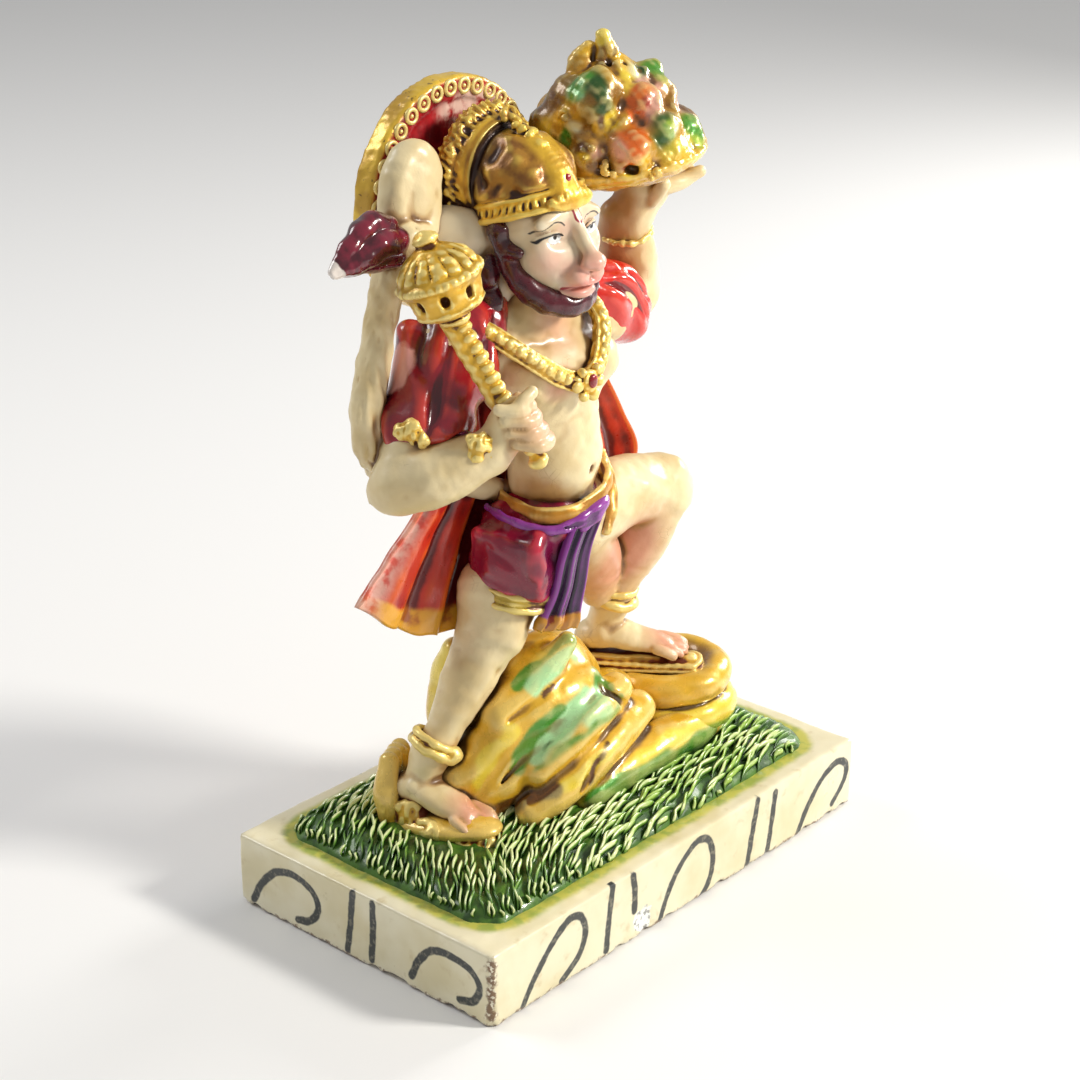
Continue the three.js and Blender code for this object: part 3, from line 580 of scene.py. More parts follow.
def beads_along(name, paths, spacing, bead, tall, material, seed=1):
    """Beads strung along smooth paths, each a slightly uneven ball"""
    tree = Tree(name, Spacing=spacing * MM, Bead=bead * MM, Tall=tall, Seed=seed)
    string = tree.node("MeshToCurve", {"Mesh": "Geometry"})
    spots = tree.node("CurveToPoints", {"Curve": string, "Length": "Spacing"}, mode="LENGTH")
    ball_mesh = tree.node("MeshIcoSphere", {"Radius": "Bead", "Subdivisions": 3})
    least, most = 0.86, 1.1
    vary = tree.node("FunctionNodeRandomValue", {2: least, 3: most, "Seed": "Seed"}, data_type="FLOAT")
    wide = vary.outputs[1]
    stretch = tree.node("ShaderNodeCombineXYZ", {"X": wide, "Y": wide, "Z": "Tall"})
    tree.place(ball_mesh, spots, material, Rotation=spots.outputs["Rotation"], Scale=stretch)
    places, pairs = [], []
    for path in paths:
        first = len(places)
        places.extend(smooth(path, 8).tolist())
        pairs.extend((k, k + 1) for k in range(first, len(places) - 1))
    return tree.run(tree.lay(name, places, pairs))


def rings_at(name, places, faces_to, radius, thick, material):
    """Ring rosettes with a small boss in the middle, all facing one way"""
    tree = Tree(name, Ring=radius * MM, Thick=thick * MM)
    circle = tree.node("CurvePrimitiveCircle", {"Resolution": 20, "Radius": "Ring"})
    wire = tree.node("CurvePrimitiveCircle", {"Resolution": 8, "Radius": "Thick"})
    hoop = tree.node("CurveToMesh", {"Curve": circle, "Profile Curve": wire})
    boss = tree.node("MeshIcoSphere", {"Radius": "Thick", "Subdivisions": 2})
    both = tree.node("JoinGeometry", {"Geometry": hoop})
    tree.group.links.new(boss.outputs[0], both.inputs[0])
    facing = Vector(faces_to).to_track_quat("Z", "Y").to_euler()
    tree.place(both, "Geometry", material, Rotation=tuple(facing))
    return tree.run(tree.lay(name, places))


# ---- paint


class Link:
    """A shader socket that Python's signs work on"""

    def __init__(self, paint, socket):
        self.paint, self.socket = paint, socket

    def math(self, operation, *values):
        return self.paint.node("Math", {"operation": operation}, list(values))

    def __add__(self, other):
        return self.math("ADD", self, other)

    def __sub__(self, other):
        return self.math("SUBTRACT", self, other)

    def __rsub__(self, other):
        return self.math("SUBTRACT", other, self)

    def __mul__(self, other):
        return self.math("MULTIPLY", self, other)

    def __truediv__(self, other):
        return self.math("DIVIDE", self, other)

    __radd__ = __add__
    __rmul__ = __mul__

    def least(self, other):
        return self.math("MINIMUM", self, other)

    def most(self, other):
        return self.math("MAXIMUM", self, other)

    def rise(self, low, high):
        """0 below low, 1 above high and smooth between"""
        settings = {"interpolation_type": "SMOOTHSTEP"}
        values = {"Value": self, "From Min": low, "From Max": high}
        return self.paint.node("MapRange", settings, values)


class Paint:
    """One material, with its nodes made by one method"""

    def __init__(self, name):
        self.material = bpy.data.materials.new(name)
        self.material.use_nodes = True
        self.tree = self.material.node_tree
        self.tree.nodes.clear()
        self.coat = self.tree.nodes.new("ShaderNodeBsdfPrincipled")
        end = self.tree.nodes.new("ShaderNodeOutputMaterial")
        self.tree.links.new(self.coat.outputs[0], end.inputs["Surface"])
        self.place = self.node("TexCoord", out="Object")

    def node(self, kind, settings=None, values=None, out=0):
        made = self.tree.nodes.new(f"ShaderNode{kind}")
        for key, value in (settings or {}).items():
            setattr(made, key, value)
        pairs = values.items() if isinstance(values, dict) else enumerate(values or [])
        for key, value in pairs:
            self.plug(made.inputs[key], value)
        return Link(self, made.outputs[out])

    def plug(self, socket, value):
        if isinstance(value, Link):
            self.tree.links.new(value.socket, socket)
        elif isinstance(value, tuple) and socket.type == "RGBA":
            socket.default_value = (*value, 1)
        else:
            socket.default_value = value

    def value(self, name):
        """The piece's own number at each point"""
        return self.node("Attribute", {"attribute_name": name}, out="Fac")

    def colour(self, name):
        return self.node("Attribute", {"attribute_name": name}, out="Color")

    def grain(self, size, detail=3, seed=0, stretch=(1, 1, 1)):
        """Noise from 0 to 1 with spots about a size in mm"""
        scale = tuple(1000 / size / s for s in stretch)
        values = {"Vector": self.place, "Scale": scale, "Location": (seed, seed, seed)}
        placed = self.node("Mapping", None, values)
        return self.node("TexNoise", None, {"Vector": placed, "Scale": 1, "Detail": detail})

    def cracks(self, size):
        """0 on fine cracks and 1 between them"""
        values = {"Vector": self.place, "Scale": 1000 / size}
        scaled = self.node("VectorMath", {"operation": "SCALE"}, values)
        settings = {"feature": "DISTANCE_TO_EDGE"}
        return self.node("TexVoronoi", settings, {"Vector": scaled, "Scale": 1})

    def axes(self):
        """x, y and z in mm from the middle of the plinth's top"""
        parts = self.node("SeparateXYZ", None, [self.place]).socket.node
        x, y, z = [Link(self, parts.outputs[k]) * 1000 for k in range(3)]
        return x, y, z - TOP

    def mottled(self, one, two, grain, low, high):
        """One colour with spots of another, where a grain rises"""
        return self.mix(one, two, self.grain(*grain).rise(low, high))

    def mix(self, one, two, share):
        names = {"Factor_Float": share, "A_Color": one, "B_Color": two}
        made = self.tree.nodes.new("ShaderNodeMix")
        made.data_type = "RGBA"
        for socket in made.inputs:
            if socket.identifier in names:
                self.plug(socket, names[socket.identifier])
        out = next(s for s in made.outputs if s.identifier == "Result_Color")
        return Link(self, out)

    def layers(self, base, *layers):
        """Layers of paint over a base, each a colour and how much of it shows"""
        for colour, share in layers:
            base = self.mix(base, colour, share)
        return base

    def finish(self, colour, rough, bump=None, depth=0.1, coat=(0, 0.03), metal=0):
        """Plugs the paint in: bump is a height from 0 to 1 with its depth in mm, and coat a
        clear coat's weight and roughness"""
        values = {"Base Color": colour, "Roughness": rough, "Metallic": metal}
        values.update({"Coat Weight": coat[0], "Coat Roughness": coat[1]})
        if bump is not None:
            height = {"Height": bump, "Distance": depth * MM, "Strength": 1.0}
            values["Normal"] = self.node("Bump", None, height)
        for name, value in values.items():
            self.plug(self.coat.inputs[name], value)
        return self.material


def wash_and_shade(paint, amount=0.5):
    """Where brown wash and painted shade sit: in nooks and hollows, broken up by grain"""
    nook, proud = paint.value("nook"), paint.value("crest")
    return nook * 1.1 - proud * 0.35 + (paint.grain(3) - 0.5) * amount


def gold_paint(name, base=(0.83, 0.5, 0.06), dark=(0.11, 0.035, 0.008), more_wash_and_shade=0):
    """Satin gold over brown, with a painted highlight on what stands proud and brown wash with painted shade in its
    nooks
    """
    paint = Paint(name)
    colour = paint.layers(
        paint.mottled(base, tuple(c * 0.62 for c in base), (6, 4, 3), 0.42, 0.66),
        # painted highlight: paler gold on what stands proud
        ((0.96, 0.78, 0.28), paint.value("crest").rise(0.15, 0.9) * 0.75),
        # brown wash and painted shade in nooks; the last argument adds more of it
        (dark, (wash_and_shade(paint, 0.7) + more_wash_and_shade).rise(0.34, 0.78)),
    )
    rough = 0.27 + paint.grain(1.2, 2, 5) * 0.22
    return paint.finish(colour, rough, paint.grain(0.9, 4, 7), 0.09, coat=(0.25, 0.2), metal=0.35)


def skin_paint(name):
    """Cream with pink strokes, ochre staining that is partly painted shade, crazed patches, and brown wash with
    painted shade in the hollows
    """
    paint = Paint(name)
    wash_and_shade_mask = paint.value("nook") * 1.15 - paint.value("crest") * 0.22 + (paint.grain(4) - 0.5) * 0.28
    crazed = (1 - paint.cracks(1.7).rise(0, 0.05)) * paint.grain(7, 2, 9).rise(0.58, 0.68)
    # ochre staining, partly painted shade on the raised arm's side turned from the light and under the body
    stain_and_shade = (paint.value("stain_and_shade") * (0.5 + paint.grain(5))).rise(0.12, 0.8)
    colour = paint.layers(
        paint.mottled((0.82, 0.68, 0.4), (0.7, 0.54, 0.27), (9, 3, 2), 0.4, 0.68),
        # pink strokes, and pink-brown painted shade inside the left thigh
        ((0.66, 0.2, 0.13), paint.value("blush") * 0.7),
        ((0.42, 0.28, 0.12), crazed * 0.35),
        ((0.44, 0.2, 0.035), stain_and_shade * 0.8),
        # brown wash and painted shade in hollows: ochre, then dark brown in the deepest
        ((0.44, 0.24, 0.07), wash_and_shade_mask.rise(0.1, 0.58) * 0.68),
        ((0.15, 0.065, 0.018), wash_and_shade_mask.rise(0.46, 0.95) * 0.9),
    )
    rough = 0.33 + paint.grain(2, 3, 4) * 0.2
    return paint.finish(colour, rough, paint.grain(1.6, 5, 1) - crazed * 0.3, coat=(0.3, 0.18))


def gloss_cloth(name, base, deep, bright):
    """Glossy cloth paint with painted shade and brown wash in its folds and painted highlights on them"""
    paint = Paint(name)
    proud = paint.value("crest")
    fold_wash_and_shade = paint.value("nook") * 1.05 - proud * 0.2 + (paint.grain(4) - 0.5) * 0.25
    colour = paint.layers(
        base,
        (deep, paint.grain(13, 2, 2).rise(0.38, 0.7) * 0.7),
        # painted highlight on the folds' crests
        (bright, (proud + paint.grain(7, 2, 5) * 0.4).rise(0.7, 2.1) * 0.7),
        # painted shade and brown wash deep in the folds
        (tuple(c * 0.2 for c in deep), fold_wash_and_shade.rise(0.3, 0.85) * 0.85),
    )
    rough = 0.15 + paint.grain(2.5, 3, 4) * 0.2
    return paint.finish(colour, rough, paint.grain(2.2, 4, 6), coat=(0.6, 0.1))


def plain_gloss(name, base, second):
    paint = Paint(name)
    colour = paint.mottled(base, second, (3, 3), 0.4, 0.68)
    return paint.finish(colour, 0.18 + paint.grain(1.2) * 0.2, paint.grain(1.2, 4, 3), 0.06, coat=(0.5, 0.03))


def settle(piece, slot, material=None, rounds=8, keep=None):
    """Gives a finished piece its paint, its crest for painted highlights and shade, and its body"""
    if material:
        piece.data.materials.clear()
        piece.data.materials.append(material)
    give(piece, "crest", np.clip(crest(piece, rounds), -2, 2))
    pieces.append((piece, slot, keep))
    return piece


# ---- the body

GOLD = gold_paint("gold_paint")
SKIN = skin_paint("skin_paint")
HAIR = plain_gloss("hair_paint", (0.045, 0.003, 0.008), (0.095, 0.006, 0.014))
GEM = plain_gloss("gem_paint", (0.36, 0.012, 0.02), (0.2, 0.006, 0.01))


def hand_right(clay):
    """The fist round the mace, with its thumb up"""
    x, y, z = -27.2, -14.2, 85
    clay.lump(0.8, (x + 0.2, y + 0.6, z), (4, 3.6, 4.9), (20, -18, 0))
    clay.bar(1.5, (-30.5, -11.5, 80, 3.4), (x - 0.6, y + 0.6, z - 1, 3.8))
    for k in (-1.5, -0.5, 0.5, 1.5):
        fx, fy, fz = x + 0.7 * k, y - 0.8 * k, z - 2.05 * k
        path = [
            (fx + 3.6, fy + 0.2, fz + 0.2, 1.15), (fx + 3, fy - 2.6, fz - 0.2, 1.3), (fx - 0.6, fy - 3.9, fz, 1.25),
            (fx - 3.4, fy - 1.6, fz + 0.4, 1.05)
        ]
        clay.bar(0.35, *path, steps=4)
    thumb = [(x - 2.6, y - 1.4, z + 1.6, 1.3), (x - 1, y - 2.4, z + 4.2, 1.35), (x + 1.4, y - 2.6, z + 5.6, 1.15)]
    clay.bar(0.5, *thumb)


def hand_left(clay):
    """The open palm below the tray, its fingers spread under the rim"""
    x, y, z = 25.2, 1.6, 112.4
    clay.bar(1, (23.8, 3.5, 105.2, 3.7), (x, y, z - 0.4, 4.6), wide=1.2)
    for k in (-1.5, -0.5, 0.5, 1.5):
        path = [
            (x + 0.5 + k, y + 1.9 * k, z - 0.2, 1.6), (x + 4.4, y - 1.6 + 2.3 * k, z + 0.4, 1.5),
            (x + 7.6, y - 3 + 2.6 * k, z + 2, 1.3)
        ]
        clay.bar(0.5, *path)
    clay.bar(0.6, (x - 1.5, y - 3.4, z - 2, 1.5), (x - 2.2, y - 6.4, z + 1.4, 1.3))


def bare_foot(clay, heel, toe, ankle):
    """A foot from its heel towards its five toes"""
    heel, toe = np.array(heel, float), np.array(toe, float)
    along, length = unit(toe - heel), np.linalg.norm(toe - heel)
    across = unit(np.cross(along, (0, 0, 1)))

    def spot(forward, aside, lift, radius):
        return (*(heel + along * forward + across * aside + np.array((0, 0, lift))), radius)

    clay.bar(1.5, (*ankle, 3.5), spot(4, 0, 3.6, 3.2))
    clay.lump(0.8, spot(1.4, 0, 2.4, 0)[:3], (2.9, 2.7, 2.6))
    instep = [
        spot(2.6, 0, 2.8, 2.7), spot(7, 0, 3.4, 2.9), spot(11.5, 0, 2.6, 2.4), spot(length - 4.6, 0, 1.9, 1.8)
    ]
    clay.bar(0.8, *instep, wide=1.4, broad=across)
    for side in (-1, 1):
        clay.lump(1, spot(4.4, side * 2.7, 4.6, 0)[:3], (1.3, 1.3, 1.4))
    for k in (-2, -1, 0, 1, 2):
        tip = length - 0.8 - 0.3 * k * k - 0.3 * k
        size = 1.35 if k == -2 else 1.05 - 0.05 * k
        path = [
            spot(length - 5 - 0.25 * k * k, k * 1.45, 2, size), spot(tip - 1.6, k * 1.6, 1.7, size),
            spot(tip, k * 1.6, 0.9, size * 0.86)
        ]
        clay.bar(0.3, *path)


def body():
    """Torso, arms, legs and tail, cream with pink where the brush has been, pink-brown painted shade inside the
    left thigh, and ochre staining on the raised arm, darker on its side turned from the light, with more of it as
    painted shade under the belly, behind the left shin and at the right ankle
    """
    clay = Clay((-50, -22, 2), (38, 18, 132), 0.45)
    clay.bar(1, (-1.2, 0.4, 56, 7.8), (-1.5, 0.6, 62, 7.3), (-1.9, -0.6, 72, 7.8), (-4.5, 0, 84, 9.6), wide=1.14)
    clay.lump(3, (-4, 0.5, 86), (14.8, 8.6, 9.6), (0, 6, 0))
    clay.lump(3, (-2.6, -4.2, 69.4), (7, 5.2, 7.8))
    clay.lump(1.6, (-11, -5.2, 87), (7, 4, 5), (0, 12, -10))
    clay.lump(1.6, (2.6, -5.4, 86), (7, 4, 5), (0, -4, 10))
    clay.bar(2, (-4.5, 1, 92, 6.4), (-7, 0.5, 96, 5.6), (-7.2, 0, 103, 5.2))
    clay.bar(3, (-22, 2, 93.5, 5.6), (-5, 1.5, 95, 5.6), (12, 1.8, 92.5, 5.4))
    clay.groove(1.4, (-13, -10.6, 80.6, 0.5), (-4, -11.2, 79.4, 0.8), (3, -10.4, 80.4, 0.8), (9, -6.6, 83, 0.5))
    clay.groove(2, (-3.6, -11.4, 90, 0.2), (-4.2, -10.6, 82, 0.5), (-3, -10, 74, 0.2))
    clay.dent(1, (-1.2, -9.4, 67.4), (0.8, 1.3, 1))
    clay.bar(2, (-25.5, 2, 93.5, 6.6), (-33, 1, 83.5, 6), (-39.5, 0, 74, 5.2))
    clay.lump(1, (-40.6, 1.6, 72.6), (4.2, 4.4, 4.2))
    clay.bar(1, (-39.5, 0, 74, 5.3), (-36.8, -4.5, 76, 5.7), (-33.6, -8.4, 78, 4.6), (-30.5, -11.5, 80, 3.5))
    hand_right(clay)
    clay.bar(2, (13.5, 1.5, 92, 6.6), (20.5, 4, 90.6, 5.8), (26.8, 5.4, 91, 5))
    clay.bar(1, (26.8, 5.4, 91, 5.1), (26.2, 5, 97.2, 5.1), (24.4, 4, 102.6, 3.9), (23.8, 3.5, 105.2, 3.6))
    clay.bar(1.5, (25, 6.2, 95, 4.4), (22.6, 5.4, 102.4, 3.6), (22, 4.8, 107, 3.2))
    hand_left(clay)
    right_leg = [
        (-6.4, 0.6, 53.2, 7), (-11, 0.9, 46, 6.3), (-15.4, 1.3, 37, 4.9), (-20, 3, 29, 4.2),
        (-24.3, 4.7, 21.5, 3.5), (-28.3, 6, 15.5, 3.3)
    ]
    clay.bar(2, *right_leg)
    clay.lump(2, (-15.4, -1.6, 37), (2.9, 2.6, 3.2))
    clay.bar(2, (-14.4, 4.4, 45, 5.4), (-15.8, 4.9, 37, 4.5), (-19, 5.5, 31, 3.5), (-23, 6.2, 23, 3))
    clay.groove(2, (-18.2, -2.4, 31, 0.3), (-21.4, -0.9, 25, 0.5), (-25, 1, 19, 0.2))
    clay.bar(2, (5, 0, 54, 7.6), (15, -0.5, 55.4, 7.1), (27.5, -1.5, 54, 6))
    clay.lump(2, (28.4, -3.2, 53.6), (4.2, 4.2, 4.8))
    left_shin = [(26.6, -2, 52, 5.8), (24, 0.4, 43, 5.4), (21.8, 2.8, 36, 4.3), (20.6, 4, 31, 3.7)]
    clay.bar(1.4, *left_shin)
    clay.bar(2.5, (23, 3.4, 46, 2.4), (20.8, 5.4, 41, 3.2), (20.4, 5.8, 35, 1.8))
    clay.bar(1, (8, 1, 50, 6), (13.5, 3, 42, 5.4), (17, 4.5, 34, 3.6))
    bare_foot(clay, (-30, 11.5, 6.4), (-27.6, -8, 3.4), (-28.3, 6, 15.5))
    bare_foot(clay, (17.6, 9.2, 20.4), (29.6, -8, 19.2), (20.6, 4, 31))
    tail = [
        (-9, 6.6, 61.6, 2.4), (-19, 11.2, 66.4, 2.8), (-31, 10.2, 71, 3), (-38, 8.2, 76.6, 3.1), (-40.8, 7, 84, 3),
        (-38.6, 7, 95, 2.8), (-34.6, 7.5, 106, 2.8), (-31.4, 9, 115, 2.9), (-29.4, 9.6, 123, 3),
        (-25.6, 9.6, 125.8, 3.1), (-23.4, 9.4, 121.4, 3), (-25.4, 8.4, 114, 3), (-29.4, 6.6, 112.8, 3),
    ]
    clay.bar(0.8, *tail)
    clay.lump(0.4, (-26.3, 8.5, 121), (4.2, 2.9, 8), (0, 8, 0))
    clay.groove(0.7, (-31.4, 6.6, 128, 0.15), (-30.9, 6.2, 122, 0.4), (-30, 5.6, 115.6, 0.2))
    clay.lump(0.6, (-31.4, 6.2, 113), (3.7, 3.5, 3.7))
    for x, y, z, radius in ((-30.4, 4.5, 121, 0.4), (-41.6, 3.6, 84, 0.35), (-38.6, 3.8, 92, 0.35)):
        clay.groove(1, (x - 0.8, y, z - 9, 0.1), (x, y, z, radius), (x + 1.4, y, z + 9, 0.1))

    def relief(places):
        lumps = ripple(places, 9, 11) * 0.16 + ripple(places, 3.2, 12) * 0.06
        strands = held(-places[:, 0] / 4 - 6.5) * (places[:, 1] > 4) * (places[:, 2] > 62) * (places[:, 2] < 110)
        return lumps + strands * 0.16 * ripple(places, 2.2, 13, stretch=(0.6, 0.6, 5))

    piece = clay.cast("body", relief)
    places = places_of(piece)

    def near(centre, radius):
        return held(1.3 - np.linalg.norm(places - centre, axis=1) / radius)

    # pink strokes; the spots at (14, 1, 42) and (18, 0, 48) are pink-brown painted shade inside the left thigh
    pink_and_shade_spots = (
        (-24.6, -16.6, 84.5, 5.5), (-27.6, -8, 4, 6), (29.6, -8, 20, 6), (-27.6, -2, 7, 4), (26.6, -3, 22, 4),
        (14, 1, 42, 10), (18, 0, 48, 9), (-7, -9, 96, 6), (-32, -9, 80, 3), (-28, -13, 80, 3.4),
        (-10, -9.5, 86, 3.5), (0, -10.5, 86, 3),
    )
    blush = sum(near(centre, radius) for *centre, radius in pink_and_shade_spots)
    give(piece, "blush", held(blush))
    # painted shade: the raised arm's ochre is stronger where its surface turns from the light
    turned_from_light = held(0.35 - normals_of(piece) @ (0.8, -0.6, 0))
    arm = near((22.6, 2.6, 105), 9) + near((24, 3, 97), 8) + near((26, 4, 112), 6)
    # painted shade spots under the belly, behind the left shin and at the right ankle
    under = near((-9, -4, 62), 7) + near((22, 4, 33), 6) * 0.8 + near((-27, 2, 15), 5) * 0.6
    give(piece, "stain_and_shade", held(arm * np.minimum(turned_from_light + 0.3, 1) + under))
    return settle(piece, "skin_paint", SKIN)


# ---- the head

SKULL = np.array((-7.2, -1, 112.5))


def by_skull(x, y, z, *radius):
    return (*(SKULL + (x, y, z)), *radius)


def on_side(side):
    """by_skull on the skull's left, side 1, or its right, side -1"""
    return lambda x, *rest: by_skull(side * x, *rest)


def across_skull(half):
    """Stations from the skull's right to its left, given from the side to the middle"""
    rest = half[::-1] if half[-1][0] else half[-2::-1]
    return [by_skull(-x, *place) for x, *place in half] + [by_skull(*place) for place in rest]


def from_path(places, path):
    """Distance in mm of places from a smooth line, in the axes that the line has"""
    line = smooth(path, 6)
    best = np.full(len(places), 1e9)
    for a, b in zip(line[:-1], line[1:]):
        step = b - a
        share = held((places - a) @ step / max(step @ step, 1e-9))
        best = np.minimum(best, np.linalg.norm(places - a - share[:, None] * step, axis=1))
    return best


def head():
    """A monkey's face with a long muzzle, closed lips and painted eyes"""
    clay = Clay((-31, -19.5, 93), (6, 14, 125), 0.27)
    clay.lump(0.8, by_skull(0, 0, 0.6), (9.5, 9.3, 10.4))
    clay.lump(2, by_skull(0, -2.2, -5.4), (8.2, 7.8, 7.4))
    clay.lump(2, by_skull(0, 3, -6), (7.6, 7, 8))
    clay.lump(2, by_skull(0, -6.8, -6), (5.6, 5.2, 5))
    clay.lump(1.5, (-19.6, 7.4, 111.2), (8, 4.2, 5.4), (0, 0, -48))
    clay.bar(1.5, (-14, 3.2, 106, 3.4), (-13.4, 3, 98, 3.6))
    for side in (-1, 1):
        at = on_side(side)
        clay.lump(1.8, at(5.2, -6.4, -2.8), (3, 2.9, 3.4))
        clay.lump(1.2, at(4.8, -7.4, 2.9), (3.4, 1.5, 1.3), (0, side * 14, 0))
        clay.dent(1.2, at(4.5, -10.1, 0), (2.5, 1.8, 1.5))
        clay.lump(0.3, at(4.7, -7, -0.1), (1.9, 1.7, 1.5))
        lid = [
            at(3, -8.9, 0.2, 0.24), at(4.3, -8.9, 0.85, 0.32), at(5.8, -8.3, 0.75, 0.32), at(7.5, -6.6, -0.1, 0.22)
        ]
        clay.bar(0.3, *lid)
        clay.dent(0.4, at(1.05, -15.1, -5.2), (0.6, 0.6, 0.45))
        clay.lump(0.7, at(1.6, -13.2, -4.3), (1.1, 1.2, 1))
        clay.lump(0.7, at(1.9, -11.2, -6.5), (2.2, 2.2, 1.8))
        clay.groove(1.2, at(2.6, -12.2, -3.6, 0.2), at(4.6, -10.2, -6.4, 0.35))
    clay.bar(1.2, by_skull(0, -8.6, 3.2, 1), by_skull(0, -10.4, 0.2, 1.15), by_skull(0, -13, -3.4, 1.3), wide=1.1)
    clay.lump(0.6, by_skull(0, -13.9, -4.2), (1.8, 1.5, 1.5))
    clay.groove(0.9, *across_skull([(2.4, -14.6, -6, 0.2), (0, -15.4, -6.1, 0.35)]))
    upper = [(4.2, -9.4, -8.4, 0.5), (2, -12, -7.8, 0.75), (0, -12.5, -8, 0.7)]
    clay.bar(0.5, *across_skull(upper))
    clay.bar(0.5, *across_skull([(3.4, -9.4, -9.6, 0.5), (1.4, -11.2, -9.8, 0.8)]))
    parting = across_skull([(4.2, -10, -8.9, 0.25), (1.8, -12.5, -8.9, 0.45)])
    clay.groove(0.4, *parting)
    clay.lump(1, by_skull(0, -7.6, -11.4), (4, 2.8, 2.2))
    piece = clay.cast("head", rippled((4, 0.07, 21)))
    spots = places_of(piece) - SKULL
    face = columns(np.abs(spots[:, 0]), spots[:, 2])
    front = spots[:, 1] < -3

    def paint_line(name, paths, half):
        near = np.min([from_path(face, path) for path in paths], 0) - half
        give(piece, name, np.where(front, near, 9))

    eye = ((face[:, 0] - 4.55) / 1.5) ** 2 + ((face[:, 1] + 0.2) / 0.85) ** 2
    give(piece, "eye_white", np.where(front, eye, 9))
    paint_line("lid_line", [[(3.1, 0.25), (4.2, 0.75), (5.4, 0.75), (6.8, 0.15), (7.7, -0.5)]], 0.2)
    paint_line("brow_line", [[(2.5, 1.8), (3.4, 2.5), (5, 2.75), (6.4, 2), (7.7, 0.85)]], 0.15)
    paint_line("under_line", [[(3.2, -0.5), (4.4, -1.15), (5.6, -0.8)]], 0.05)
    pupil = np.hypot(face[:, 0] - 4.7, face[:, 1] - 0.25) - 0.5
    give(piece, "pupil", np.where(front, pupil, 9))
    stroke = np.hypot(face[:, 0], np.minimum(face[:, 1] - 3, 0))
    mark = np.where(face[:, 1] > 3, np.abs(face[:, 0] - 0.78), np.abs(stroke - 0.78))
    give(piece, "mark", np.where(front, np.maximum(mark - 0.16, face[:, 1] - 4.7), 9))
    lips = np.hypot(face[:, 0] / 4.3, (face[:, 1] + 8.9) / 1.9) - 1
    give(piece, "lips", np.where(spots[:, 1] < -8.8, lips, 9))
    give(piece, "parting", from_path(spots, np.array(parting)[:, :3] - SKULL))

    def near(x, y, z, radius):
        gap = np.linalg.norm(columns(np.abs(spots[:, 0]) - x, spots[:, 1] - y, spots[:, 2] - z), axis=1)
        return held(1.4 - gap / radius)

    blush = (
        near(0, -14, -4.6, 2.8) + near(5.4, -8.4, -3.6, 3.2) * 0.7
        + near(2, -12.4, -6.8, 3.2) + near(2.4, -9, 1.2, 2) * 0.45
    )
    give(piece, "blush", held(blush))
    return settle(piece, "skin_paint", face_paint("face_paint"), keep="figure")


def face_paint(name):
    """Cream with a pink flush, brown wash and painted shade in its hollows, and the painted eyes, brows, lips and
    mark
    """
    paint = Paint(name)

    def inside(name, edge, soft=0.08):
        return 1 - paint.value(name).rise(edge - soft, edge + soft)

    eye, ink = inside("eye_white", 1, 0.15), (0.008, 0.008, 0.01)
    colour = paint.layers(
        paint.mottled((0.82, 0.72, 0.52), (0.74, 0.6, 0.4), (6,), 0.42, 0.68),
        ((0.74, 0.27, 0.22), paint.value("blush") * 0.7),
        # brown wash and painted shade in the face's hollows
        ((0.26, 0.12, 0.05), wash_and_shade(paint, 0.3).rise(0.5, 1.05) * 0.7),
        ((0.66, 0.2, 0.17), inside("lips", 0, 0.2) * 0.6),
        ((0.26, 0.004, 0.014), inside("parting", 0.6, 0.14)),
        ((0.8, 0.84, 0.86), eye),
        ((0.32, 0.36, 0.4), eye * paint.grain(1.4).rise(0.45, 0.62) * 0.4),
        (ink, inside("pupil", 0)),
        (ink, inside("lid_line", 0)),
        ((0.05, 0.035, 0.03), inside("under_line", 0, 0.06) * 0.8),
        ((0.012, 0.012, 0.014), inside("brow_line", 0, 0.07) * 0.95),
        ((0.28, 0.004, 0.02), inside("mark", 0.04)),
    )
    rough = 0.3 + paint.grain(2) * 0.18
    return paint.finish(colour, rough, paint.grain(1.4, 4), 0.05, coat=(0.35, 0.15))


def beard():
    """Beard from ear to ear and a lock of hair behind each jaw, in dark glossy paint"""
    clay = Clay((-23, -16, 92), (9, 8, 118), 0.28)
    half = [
        (9.1, 0.4, 2.2, 1.4), (9.4, -0.2, 0.2, 1.9), (9, -1.3, -2.8, 1.8), (8.5, -2.9, -6.4, 2.1),
        (6.8, -5.4, -9.6, 2.4), (3.6, -7.8, -11.6, 2.5), (0, -8.9, -12.2, 2.5),
    ]
    clay.bar(0.3, *across_skull(half))
    for side in (-1, 1):
        at = on_side(side)
        clay.lump(0.6, at(9.7, -0.2, 0.8), (1.6, 2.2, 1.7))
        clay.lump(0.8, at(9.2, -3, -2.4), (1.5, 2.3, 1.4))
        clay.dent(0.7, at(9.6, -4.2, -0.9), (1.4, 1.2, 0.9))
        clay.dent(0.7, at(9, -6.2, -4.6), (1.4, 1.1, 0.9))
        lock = [
            at(10.2, 1, -4.2, 0.9), at(11, 1.2, -7, 2), at(10.2, 1, -9.4, 1.4),
            at(10.9, 0.8, -12, 2.3), at(10.6, 0.6, -15.2, 1),
        ]
        clay.bar(0.3, *lock, wide=1.15, broad=(0, 1, 0))
    return settle(clay.cast("beard", rippled((3.2, 0.12, 31))), "hair_paint", HAIR)


